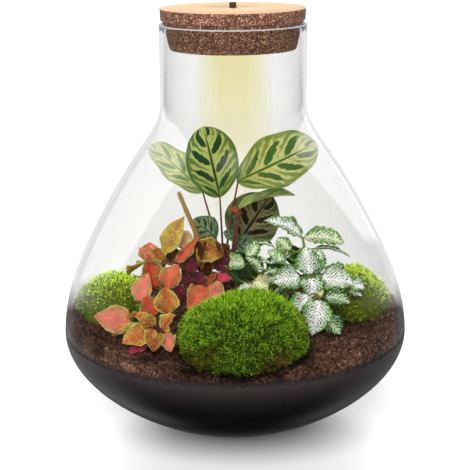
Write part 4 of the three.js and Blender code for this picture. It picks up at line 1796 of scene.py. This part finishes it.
# Colours in the order of FittoniaBlade: veins, between them, margin, flush
OPEN_NET = partial(FittoniaBlade, openness=0.34, patches=0.3, gaps=0.48)
RED_LOOKS = by_last_word(
    OPEN_NET("fittonia_pink", "#f08074", "#8a8a48", "#c8c274", "#d2905c"),
    OPEN_NET("fittonia_coral", "#e55a4e", "#6f8238", "#b9b660", "#c07c42"),
    OPEN_NET("fittonia_red", "#cf4038", "#5c7a32", "#a0a850", "#a86c38", openness=0.36, gaps=0.47),
    # wine: a dark copy for leaves deep in the plant and in its gaps, darkened partly as painted shade
    FittoniaBlade("fittonia_wine", "#6f2230", "#42202a", "#6d3a3c", "#5a2a2c"),
    FittoniaBlade("fittonia_magenta", "#da4260", "#a8404e", "#c8606a", "#c85060"),
    FittoniaBlade("fittonia_orange", "#c65a34", "#c8b452", "#dcd272", "#b8863a", openness=0.42, gaps=0.45),
    FittoniaBlade("fittonia_olive", "#a8843c", "#bcb44e", "#c4c060", "#b4a848", openness=0.8, spacing=3.2),
    FittoniaBlade("fittonia_rust", "#a04a2a", "#b89e42", "#cfbc5c", "#94702e", openness=0.4, gaps=0.45),
    # umber: a dark brown copy for leaves deep in the plant, darkened partly as painted shade
    FittoniaBlade("fittonia_umber", "#5e2c1a", "#3a2412", "#8a6630", "#6a4420"),
    FittoniaBlade(
        "fittonia_straw", "#b87c48", "#c6b454", "#d2c66c", "#bca44c", openness=0.6, spacing=3.0, gaps=0.4
    ),
    FittoniaBlade("fittonia_cream", "#d49a86", "#cfc898", "#c4c47e", "#c8b888", openness=0.8),
)

FINE_NET = partial(FittoniaBlade, cell=1.7)
CRISP_NET = partial(FittoniaBlade, cell=1.9, openness=0.42, patches=0.1)
FRESH_NET = partial(FINE_NET, openness=0.48, patches=0.25)
DUSKY_NET = partial(FINE_NET, openness=0.62, patches=0.2)
WHITE_LOOKS = by_last_word(
    CRISP_NET("fittonia_white", "#ffffff", "#22601c", "#5ea038", "#9cc870", flushing=0.65),
    FRESH_NET("fittonia_fresh", "#eef5d4", "#3f8026", "#74a83e", "#b4d084", flushing=0.5),
    # dusky: a darker copy for leaves under and behind others, painted shade
    DUSKY_NET("fittonia_dusky", "#cfe2bc", "#163f18", "#2f6c28", "#6c9c50", flushing=0.6),
    FINE_NET("fittonia_ivory", "#f8f5d6", "#9fb45a", "#c9b86c", "#e0d8a0", openness=0.4),
    # gloom: a dark copy, veins and all, for the shaded depths between leaves, painted shade
    FINE_NET("fittonia_gloom", "#3c5a2c", "#0e220c", "#1f4216", "#2a4a1e", openness=0.7),
)


@dataclass
class Plant:
    """A plant: round tapered stems and stalks, and its leaves.

    Attributes:
        name: the start of its nodes' names.
        slots: material slots of its leaves and its stems; not used.
        looks: its leaves' finishes by name.
        leaves: each leaf's look and habit by its node's last word.
        runs: its stems, as places in millimetres and a radius in millimetres.
        stalk_from: where the stalks start in millimetres, or None for the nearest stem.
        stalk_radius: a stalk's radius in millimetres.
        stalk_curve: how strongly a stalk swings towards the line of its leaf.
        stem_finish: finish of its stems.
        outline: the outline that its nodes were drawn with.
        special_roots: leaves whose stalks start elsewhere, in millimetres.
        small: leaves too small for a node, by name: look, habit, base, tip, width and arch, in
            millimetres and as a share of the length.
    """

    name: str
    slots: tuple[str, str]
    looks: dict[str, Finish]
    leaves: dict[str, tuple[str, Habit]]
    runs: tuple[tuple[tuple[Place, ...], float], ...]
    stem_finish: Finish
    outline: Outline
    stalk_radius: float
    stalk_curve: float
    stalk_from: Place | None = None
    special_roots: dict[str, Place] = field(default_factory=dict)
    small: dict[str, tuple[str, Habit, Place, Place, float, float]] = field(default_factory=dict)

    def build(self) -> None:
        """Makes the leaves, then the stems that reach them."""
        stem_corners = node_corners(f"{self.name}_stems")
        lines: dict[str, LeafLine] = {}
        for order, (key, (look, habit)) in enumerate(self.leaves.items()):
            node = f"{self.name}_leaf_{key}"
            habit = habit.varied(order) if self.outline is Outline.OVAL else habit
            lines[key] = LeafLine.of_node(node, stem_corners, self.outline).grown(habit)
            grid = LARGE_GRID if self.outline is Outline.BROAD else USUAL_GRID
            leaf = Leaf(f"{node}_blade", lines[key], habit, self.looks[look], *grid, 1.7 * order)
            blade = leaf.build()
            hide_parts(node)
        for order, (key, (look, habit, base, tip, width, arch)) in enumerate(self.small.items()):
            line = LeafLine.between(base, tip, width, arch)
            leaf = Leaf(
                f"{self.name}_small_{key}", line, habit, self.looks[look], *SMALL_GRID, 2.3 * order
            )
            leaf.build()
            if self.stalk_from is None:
                lines[key] = line
        self._build_stems(lines)

    def _build_stems(self, lines: dict[str, LeafLine]) -> None:
        """Makes the stems and the stalks as one piece.

        Args:
            lines: each leaf's lines by its key.
        """
        pile = MeshPile()
        samples = []
        for places, radius in self.runs:
            path = smooth_path(np.array(places, float) * MM, 10)
            samples.append(path)
            shares = np.linspace(0, 1, len(path))
            # leaf joints swell the stem a little at every fifth of its length
            swell = 1 + 0.16 * np.exp(-((((shares * 5) % 1) - 0.5) ** 2) / 0.01)
            pile.add(*tube(path, radius * MM * (1.05 - 0.35 * shares) * swell, 10))
        stem = np.vstack(samples)
        for key, line in lines.items():
            start = self.special_roots.get(key, self.stalk_from)
            nearest = stem[np.linalg.norm(stem - line.base, axis=1).argmin()]
            root = nearest if start is None else np.array(start) * MM
            reach = np.linalg.norm(line.base - root)
            approach = line.base - unit(line.bend - line.base) * self.stalk_curve * reach
            bend = root + (line.base - root) / 2
            bend = bend + (approach - bend) * self.stalk_curve
            path = smooth_path(np.array([root, bend, line.base + unit(line.bend - line.base) * MM]), 8)
            radii = self.stalk_radius * MM * np.linspace(1.15, 0.7, len(path))
            pile.add(*tube(path, radii, 8))
        stems = pile.build(f"{self.name}_stalks", self.stem_finish)
        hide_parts(f"{self.name}_stems")


def calathea() -> Plant:
    """The peacock calathea at the back."""
    crown = (-8.0, 9.0, 110.0)
    shoot = (0.0, -2.0, 118.0)
    plain = Habit(Outline.BROAD, cup=0.06, fold=0.08, wave=0.9, waves=1.6, quilt=0.22, sweep=0.34)
    plain = replace(plain, side_veins=9, thickness=0.45)
    blunt = replace(plain, outline=Outline.BLUNT)
    wavy = replace(plain, wave=2.2)
    broad = replace(blunt, wave=1.8, waves=2.2)
    dark = replace(plain, fold=0.14)
    sheath = replace(plain, wave=0.2, quilt=0.0, fold=0.3)
    return Plant(
        name="calathea",
        slots=("calathea_leaf", "calathea_stem"),
        looks=CALATHEA_LOOKS,
        leaves={
            "front": ("bright", blunt),
            "left": ("pale", wavy.sized(0.76, (-2, 0, 2), (-3, 0, 2), waves=2.6)),
            "right": ("broad", broad.sized(1.04, (0, 0, -2), (3, 0, -3))),
            "folded": ("underside", plain.sized(1.0, tip_by=(1, 0, 0), fold=0.3, wave=1.2)),
            "dark": ("shaded", dark.sized(1.2, (-1, 0, -5), (-3, 0, 0))),
            "low_left": ("deep", plain.sized(1.3, tip_by=(-2, 0, 2), fold=0.2)),
            "low_right": ("deep", plain.sized(1.5, tip_by=(8, 0, -2))),
        },
        runs=(
            (((-6, 12, 74), (-7, 11, 92), crown), 2.4),
            (((-4, 11, 74), (-2, 4, 96), shoot), 1.7),
            (((-1, -2, 124), (0, -4, 138), (3, -6, 158)), 1.5),
        ),
        stem_finish=PlantStem("calathea_stalk", low="#5d2f30", high="#7d4a44"),
        outline=Outline.BROAD,
        stalk_radius=0.85,
        stalk_curve=0.08,
        stalk_from=crown,
        special_roots={"folded": shoot},
        small={
            "sheath_left": ("sheath", sheath, (-5, 3, 108), (-10, 3, 130), 7, 0.02),
            "sheath_right": ("sheath", sheath, (3, -2, 110), (0, -2, 128), 6, 0.02),
            "back": ("deep", plain, (2, 14, 108), (16, 16, 130), 14, 0.05),
            "blush": ("blush", sheath, (-3, -4, 160), (6, -4, 156), 4, 0.05),
            "wing": ("deep", plain, (-2.5, 9, 134), (2.5, 9, 160), 7, 0.05),
            "foot": ("deep", plain, (4, 2, 134), (-8, 2, 141), 9, 0.05),
        },
    )


def red_fittonia() -> Plant:
    """The red fittonia at the left front."""
    fork = (-48, -43, 92)
    plain = Habit(Outline.POINTED, cup=0.12, fold=0.14, wave=0.9, quilt=0.45, scallop=0.03)
    limp = replace(plain, droop=0.12, wave=1.1)
    curled = replace(plain, fold=0.35, twist=20)
    hood = replace(plain, outline=Outline.BLUNT, fold=0.2, droop=0.3, wave=1.6, scallop=0.06)
    return Plant(
        name="red_fittonia",
        slots=("red_fittonia_leaf", "red_fittonia_stem"),
        looks=RED_LOOKS,
        leaves={
            "a": ("pink", plain.sized(1.25)),
            "b": ("pink", plain.sized(1.2)),
            "c": ("coral", plain.sized(1.15)),
            "d": ("red", curled.sized(1.35)),
            "e": ("olive", plain.sized(1.15, (1.5, 0, 7), (-5, 0, -12))),
            "f": ("pink", plain.sized(1.6, (1, 0, -4), (0, 0, -1))),
            "h": ("straw", plain.sized(1.15, (-2, 0, 1), (-1, 0, -1), turned=True)),
            "i": ("cream", plain.sized(1.6, (-2, 0, 0), (-2, 0, 0))),
            "j": ("coral", curled.sized(1.3, fold=0.2)),
            "l": ("rust", hood.sized(1.25, (-5, 0, 8), (3, 0, -5))),
            "m": ("coral", limp.sized(1.35, (0, -2, 1), (0, -6, 1))),
            "n": ("pink", limp.sized(1.4, (0, -3, 0), (2, -8, 1))),
            "o": ("orange", plain.sized(1.15, (-2, 0, -1), (-1, 0, 1))),
            "p": ("red", plain.sized(1.35)),
            "q": ("rust", plain.sized(1.5)),
            "r": ("orange", plain.sized(1.15, (3, 0, -8), (1.5, 0, 7))),
            "s": ("orange", limp.sized(1.4, (0, 0, 1))),
            "t": ("rust", limp.sized(1.35, (0, 0, 1))),
            "u": ("pink", limp.sized(1.3)),
            "v": ("magenta", plain.sized(1.3)),
            "w": ("magenta", plain.sized(0.8, (5, 0, 2), droop=0.25)),
        },
        runs=(
            (((-46, -44, 74), fork, (-51, -40, 110), (-50, -31, 121), (-48, -23, 129)), 1.4),
            ((fork, (-52, -56, 92), (-52, -67, 92)), 1.3),
            ((fork, (-57, -54, 91), (-65, -63, 93)), 1.2),
            ((fork, (-34, -28, 112), (-26, -16, 128), (-27, -12, 143)), 1.6),
            (((-26, -16, 128), (-27, -12, 143), (-33, -10, 158), (-39, -8, 173)), 2.0),
            (((-34, -28, 112), (-27, -31, 113), (-22, -33, 112)), 1.1),
        ),
        stem_finish=PlantStem("red_fittonia_stem_skin", low="#5f3a2c", high="#a98a4c"),
        outline=Outline.OVAL,
        stalk_radius=0.75,
        stalk_curve=0.5,
        small={
            "lime": ("olive", plain, (-54, -22, 126), (-46, -20, 138), 7, 0.05),
            "umber": ("umber", plain, (-38, -15, 126), (-47, -13, 133), 8, 0.05),
            "hood": ("umber", limp, (-18, -15, 141), (-14, -18, 118), 14, 0.1),
            "hood_left": ("umber", limp, (-26, -20, 141), (-28, -22, 119), 13, 0.1),
            "hood_front": ("rust", limp, (-24, -19, 138), (-23, -24, 120), 7, 0.05),
            "hood_back": ("wine", limp, (-12, -12, 130), (-6, -14, 116), 12, 0.1),
            "deep_a": ("wine", limp, (-25, -27, 127), (-38, -29, 118), 12, 0.1),
            "deep_b": ("umber", plain, (-31, -27, 123), (-44, -27, 128), 11, 0.1),
            "deep_c": ("wine", limp, (-20, -31, 118), (-30, -34, 111), 11, 0.1),
            "deep_d": ("wine", limp, (-35, -44, 115), (-41, -46, 105), 9, 0.05),
            "deep_e": ("rust", plain, (-51, -33, 128), (-61, -35, 117), 12, 0.1),
            "fan": ("rust", plain, (-57, -30, 137), (-49, -30, 129), 9, 0.05),
            "slip": ("orange", plain, (-71, -67, 94), (-82, -70, 89), 6, 0.05),
            "sliver": ("rust", plain, (-62, -62, 101), (-73, -63, 99), 4, 0.1),
            "plum": ("wine", plain, (-28, -43, 112), (-36, -41, 121), 9, 0.05),
            "plum_low": ("wine", plain, (-32, -46, 105), (-39, -44, 113), 8, 0.05),
            "blade": ("red", curled, (-20, -32, 111), (-12, -31, 121), 5, 0.0),
            "back_left": ("umber", plain, (-52, -34, 108), (-62, -30, 118), 9, 0.05),
            "back_right": ("wine", plain, (-42, -36, 100), (-33, -32, 107), 10, 0.05),
            "rosette": ("rust", limp, (-59, -72, 95), (-73, -74, 84), 12, 0.08),
            "rosette_low": ("orange", limp, (-55, -74, 95), (-57, -78, 86), 9, 0.08),
            "rosette_side": ("olive", plain, (-62, -68, 94), (-77, -70, 92), 7, 0.08),
            "rosette_top": ("orange", plain, (-57, -66, 97), (-67, -64, 101), 8, 0.08),
            "lit": ("pink", plain, (-61, -28, 130), (-66, -30, 139), 6, 0.05),
            "gap_a": ("umber", limp, (-22, -16, 128), (-20, -20, 112), 14, 0.1),
            "gap_b": ("wine", plain, (-14, -14, 124), (-4, -18, 116), 12, 0.1),
            "gap_c": ("umber", plain, (-12, -10, 134), (-4, -10, 122), 12, 0.1),
            "gap_d": ("umber", plain, (-44, -20, 124), (-54, -20, 132), 10, 0.1),
        },
    )


def white_fittonia() -> Plant:
    """The white-veined fittonia at the right."""
    fork = (55, -27, 92)
    plain = Habit(Outline.OVAL, fold=0.16, wave=0.9, quilt=0.7, side_veins=7, scallop=0.11)
    arching = replace(plain, fold=0.25, wave=1.0, scallop=0.14)
    limp = replace(plain, droop=0.1)
    return Plant(
        name="white_fittonia",
        slots=("white_fittonia_leaf", "white_fittonia_stem"),
        looks=WHITE_LOOKS,
        leaves={
            "a": ("white", arching.sized(1.3, (0, 0, 1), (0, 0, 1))),
            "b": ("fresh", arching.sized(1.2)),
            "c": ("white", plain.sized(1.2)),
            "d": ("white", plain.sized(1.15)),
            "e": ("white", plain.sized(1.0, (-3.5, 0, -2), (-1.5, 0, -1.5))),
            "f": ("white", plain.sized(1.15)),
            "g": ("white", plain.sized(1.3, (0, 0, -1), (1, 0, -0.5))),
            "h": ("white", limp.sized(1.35)),
            "i": ("white", plain.sized(1.35, tip_by=(0, 0, -1.5))),
            "j": ("white", plain.sized(1.4)),
            "k": ("white", limp.sized(1.35, (-1, 0, 0), (-1, 0, 0))),
            "l": ("white", limp.sized(1.15)),
            "m": ("dusky", plain.sized(1.35)),
            "n": ("dusky", plain.sized(1.3)),
            "o": ("ivory", plain.sized(1.35, tip_by=(-1, 0, -3), cup=0.3)),
            "p": ("fresh", plain.sized(1.4)),
            "q": ("fresh", plain.sized(1.2)),
        },
        runs=(
            (((56, -30, 74), fork, (53, -17, 113), (51, -7, 126), (49, 0, 136)), 1.4),
            ((fork, (58, -35, 98), (59, -38, 105)), 1.2),
            ((fork, (40, -20, 98), (24, -12, 108), (9, -7, 121)), 1.2),
            (((24, -12, 108), (19, -16, 111), (15, -20, 112)), 0.9),
            ((fork, (70, -21, 99), (79, -17, 105)), 0.9),
        ),
        stem_finish=PlantStem("white_fittonia_stem_skin", low="#6d7a45", high="#93ab5c"),
        outline=Outline.OVAL,
        stalk_radius=0.75,
        stalk_curve=0.5,
        small={
            "under": ("dusky", arching, (57, -1, 129), (83, -1, 123), 3.5, 0.12),
            "behind": ("fresh", plain, (39, -4, 123), (29, -2, 135), 9, 0.08),
            "hook": ("dusky", arching, (16, 0, 133), (29, 0, 130), 4, 0.12),
            "band": ("fresh", plain, (8, -7, 121), (26, -6, 120), 6, 0.08),
            "shade": ("dusky", plain, (30, -14, 118), (19, -16, 111), 8, 0.05),
            "shade_low": ("dusky", plain, (40, -18, 108), (28, -20, 103), 9, 0.05),
            "low": ("white", plain, (12, -24, 109), (2, -25, 106), 6, 0.05),
            "bud": ("ivory", plain, (58, -38, 105), (61, -39, 110), 4, 0.0),
            "lower": ("dusky", limp, (53, -45, 103), (46, -50, 84), 10, 0.05),
            "lobe": ("white", plain, (81, -17, 102), (90, -19, 99), 6, 0.05),
            "back": ("dusky", plain, (50, -12, 104), (62, -10, 112), 12, 0.05),
            "back_left": ("fresh", plain, (36, -10, 106), (24, -8, 114), 10, 0.05),
            "fill_a": ("fresh", plain, (36, -8, 120), (23, -7, 129), 10, 0.08),
            "fill_b": ("fresh", plain, (40, -4, 129), (30, -3, 137), 9, 0.08),
            "fill_c": ("dusky", plain, (20, -13, 117), (8, -12, 126), 9, 0.08),
            "fill_d": ("dusky", plain, (29, -19, 114), (20, -21, 108), 9, 0.05),
            "fill_e": ("gloom", plain, (5, -22, 111), (-6, -22, 118), 10, 0.05),
            "dark_a": ("gloom", plain, (34, -6, 112), (22, -4, 122), 14, 0.05),
            "dark_b": ("gloom", plain, (44, -2, 118), (38, 0, 132), 13, 0.05),
            "dark_c": ("gloom", plain, (14, -10, 110), (4, -8, 122), 13, 0.05),
            "dark_d": ("gloom", plain, (46, -30, 104), (38, -32, 94), 11, 0.05),
            "dark_e": ("gloom", plain, (62, -28, 96), (52, -32, 88), 11, 0.05),
        },
    )


@dataclass(frozen=True)
class Softlight:
    """A broad light a long way off.

    Attributes:
        name: its name.
        strength: its irradiance square to its beam.
        height: its angle above the table, in degrees.
        turn: its angle to the right of the camera, in degrees.
        spread: its breadth in degrees.
    """

    name: str
    strength: float
    height: float
    turn: float
    spread: float

    def build(self) -> None:
        """Sets the light, kept out of every reflection."""
        light = bpy.data.lights.new(self.name, "SUN")
        light.energy = self.strength
        light.angle = math.radians(self.spread)
        made = bpy.data.objects.new(self.name, light)
        made.rotation_euler = (math.radians(90 - self.height), 0, math.radians(self.turn))
        made.visible_glossy = False
        made.visible_transmission = False
        bpy.context.scene.collection.objects.link(made)


@dataclass(frozen=True)
class PanelEdges:
    """Where the edges of a white panel stand that the glass mirrors, behind one side of the jar.

    Attributes:
        near: lean of the edge nearer to the camera, and its angle round from the camera in radians.
        far: angle of the edge that is farther round.
        low: lean and height of the lower edge, as a share of the sky's height.
    """

    near: tuple[float, float]
    far: float
    low: tuple[float, float]


@dataclass
class Studio:
    """The white studio: floor, sky light, a key light over the camera, a lit backdrop, and the camera.

    Attributes:
        distance: how far the camera stands from the jar's axis.
        height: how high it stands.
        pitch: how far the camera looks down, in degrees.
        roll: the camera's roll in degrees.
        aside: how far the camera stands to the right.
        focal_pixels: focal length in pixels of the photo's frame.
        sensor: the sensor's width in millimetres.
        sky: strength of the even light from all round.
        seen_sky: strength of the white that is seen all round.
        front_sky: strength of the near-black that the glass mirrors in front.
        floor_reach: half the floor's breadth.
        lights: the key light and the backdrop's light.
        left_panel: the white panel behind the jar's left side.
        right_panel: the one behind its right side.
        panel_edge: breadth of the panels' soft edges, in radians.
        panel: the panels' strength.
        overhead: strength of the panel overhead that its rim mirrors.
    """

    distance: float = 0.850
    height: float = 0.3701
    pitch: float = 15.18
    roll: float = -0.42
    aside: float = 0.0004
    focal_pixels: float = 1228.6
    sensor: float = 36.0
    sky: float = 0.31
    seen_sky: float = 1.2
    front_sky: float = 0.02
    floor_reach: float = 14.0
    lights: tuple[Softlight, ...] = (
        Softlight("key_light", strength=3.5, height=38, turn=-8, spread=50),
        Softlight("backdrop_light", strength=5.9, height=15, turn=184, spread=32),
    )
    left_panel: PanelEdges = PanelEdges(near=(0.8, 1.92), far=2.51, low=(0.5, 1.12))
    right_panel: PanelEdges = PanelEdges(near=(0.98, 2.34), far=2.66, low=(0.55, 1.349))
    panel_edge: float = 0.07
    panel: float = 1.5
    overhead: float = 3.0

    def build(self) -> None:
        """Sets the whole studio."""
        self._set_view()
        self._lay_floor()
        self._set_sky()
        for light in self.lights:
            light.build()
        self._set_camera()

    def _set_view(self) -> None:
        """Shows light as it is, with no film curve, and lets the eye see through every layer."""
        scene = bpy.context.scene
        scene.view_settings.view_transform = "Standard"
        scene.cycles.transparent_max_bounces = 40
        scene.cycles.max_bounces = 16
        scene.cycles.transmission_bounces = 16

    def _lay_floor(self) -> None:
        """Lays the floor out to well beyond the view. Gloss mirrors the sky's panels in its place."""
        reach = self.floor_reach
        corners = [(-reach, -reach, 0), (reach, -reach, 0), (reach, reach, 0), (-reach, reach, 0)]
        mesh = bpy.data.meshes.new("studio_floor")
        mesh.from_pydata(corners, [], [(0, 1, 2, 3)])
        mesh.materials.append(StudioFloor("studio_paper").material())
        floor = bpy.data.objects.new("studio_floor", mesh)
        floor.visible_glossy = False
        bpy.context.scene.collection.objects.link(floor)

    def _set_sky(self) -> None:
        """Sets the even light, and what the glass mirrors: black in front, white panels at the sides."""
        world = bpy.data.worlds.new("studio_sky")
        world.use_nodes = True
        world.node_tree.nodes.clear()
        add = partial(add_node, world.node_tree)
        way = add("SeparateXYZ", [add("TexCoord").outputs["Generated"]])
        rise = way.outputs["Z"]
        front = add("Math MULTIPLY", [way.outputs["Y"], -1.0])
        # angle to the right of the camera's side, in radians
        turn = add("Math ARCTAN2", [way.outputs["X"], front])
        left_turn = add("Math MULTIPLY", [turn, -1.0])

        def beyond(value: Feed, slope: float, other: Feed, limit: float) -> bpy.types.Node:
            """Adds a soft edge, one where value + slope * other is over the limit and zero below it."""
            summed = add("Math MULTIPLY_ADD", [other, slope, value])
            soft = [summed, limit - self.panel_edge / 2, limit + self.panel_edge / 2]
            return add("MapRange", soft, interpolation_type="SMOOTHSTEP")

        def overlap(*parts: bpy.types.Node) -> bpy.types.Node:
            """Adds the region that all the parts share."""
            shared = parts[0]
            for part in parts[1:]:
                shared = add("Math MULTIPLY", [shared, part])
            return shared

        below_top = add("MapRange", [rise, 0.7, 0.8, 1.0, 0.0])
        sides = ((self.left_panel, left_turn, turn), (self.right_panel, turn, left_turn))
        white = [
            overlap(
                beyond(outwards, edges.near[0], rise, edges.near[1]),
                beyond(inwards, 0.0, rise, -edges.far),
                beyond(rise, edges.low[0], outwards, edges.low[1]),
                below_top,
            )
            for edges, outwards, inwards in sides
        ]
        panels = add("Math MAXIMUM", white)
        round_the_back = add("Math ABSOLUTE", [turn])
        deepened = add("Math POWER", [add("MapRange", [round_the_back, 1.5, 2.5]), 1.6])
        # the table's far edge is lower towards the back
        lifted = add("Math MULTIPLY_ADD", [round_the_back, 0.3, rise])
        above_table = add("MapRange", [lifted, 0.55, 0.62, 0.1, 0.95])
        under_jar = add("MapRange", [rise, -0.75, -0.5])
        paper = overlap(deepened, above_table, under_jar)
        # the table beside the jar, outside its own shadow
        table = overlap(
            add("MapRange", [rise, -0.9, -0.74, 0.0, 0.34]),
            add("MapRange", [rise, -0.35, -0.25, 1.0, 0.0]),
            add("MapRange", [round_the_back, 1.5, 2.0]),
            add("MapRange", [round_the_back, 2.7, 2.95, 1.0, 0.0]),
            add("MapRange", [turn, -1.0, 1.0, 1.0, 0.65]),
        )
        dim = add("Math ADD", [add("Math MAXIMUM", [paper, table]), self.front_sky])
        lit = add("Math MULTIPLY", [panels, self.panel])
        above = add("MapRange", [rise, 0.82, 0.88, 0.0, self.overhead])
        mirrored = add("Math MAXIMUM", [add("Math MAXIMUM", [dim, lit]), above])
        path = add("LightPath").outputs
        mirror_seen = add("Math GREATER_THAN", [path["Glossy Depth"], 0.5])
        # looked at, straight or through the glass, the studio is white all round
        looked_at = add("Math MAXIMUM", [path["Is Camera Ray"], path["Is Transmission Ray"]])
        plain = add("Mix FLOAT", [looked_at, self.sky, self.seen_sky])
        strength = add("Mix FLOAT", [mirror_seen, plain, mirrored])
        add("OutputWorld", [add("Background", ["#ffffff", strength])])
        bpy.context.scene.world = world

    def _set_camera(self) -> None:
        """Stands the camera where the photo was taken from."""
        lens = bpy.data.cameras.new("photo_camera")
        lens.sensor_width = self.sensor
        lens.lens = self.focal_pixels * self.sensor / PHOTO_WIDTH
        camera = bpy.data.objects.new("photo_camera", lens)
        tilt = Matrix.Rotation(math.radians(90 - self.pitch), 4, "X")
        roll = Matrix.Rotation(math.radians(self.roll), 4, "Z")
        stand = Matrix.Translation((self.aside, -self.distance, self.height))
        camera.matrix_world = stand @ tilt @ roll
        bpy.context.scene.collection.objects.link(camera)
        bpy.context.scene.camera = camera


def build_all(builders: Iterable[object]) -> None:
    """Builds each sub-assembly in order and reports it.

    Args:
        builders: the sub-assemblies.
    """
    for builder in builders:
        builder.build()
        LOG.info("%s: done", type(builder).__name__)


def main() -> None:
    logging.basicConfig(level=logging.INFO, format="%(name)s %(message)s")
    lime = CushionMoss("moss_lime", deep="#26320c", green="#86a21e", bright="#d8ec64", dry="#8f963c")
    olive = CushionMoss("moss_olive", deep="#1e280a", green="#82a020", bright="#d6e45a", dry="#8c8a34")
    low_cushion = partial(MossCushion, shoots=3000, length=2.4 * MM, top_length=1.25)
    front = MossCushion("moss_front", CushionMoss("moss_emerald"), shoots=7500, seed=21, outgrowth=4 * MM)
    left = low_cushion("moss_left", lime, seed=31, outgrowth=6 * MM, towards=(-1.0, 0.0))
    right = low_cushion("moss_right", olive, seed=41, outgrowth=3 * MM, towards=(1.0, 0.0))
    front.hollow = (-17 * MM, -58 * MM, 9 * MM)
    right.hollow = (110 * MM, 10 * MM, 9 * MM)
    plants = (calathea(), red_fittonia(), white_fittonia())
    build_all([Jar(), Stopper(), Lamp(), Soil(), front, left, right, *plants, Studio()])


if __name__ == "__main__":
    main()
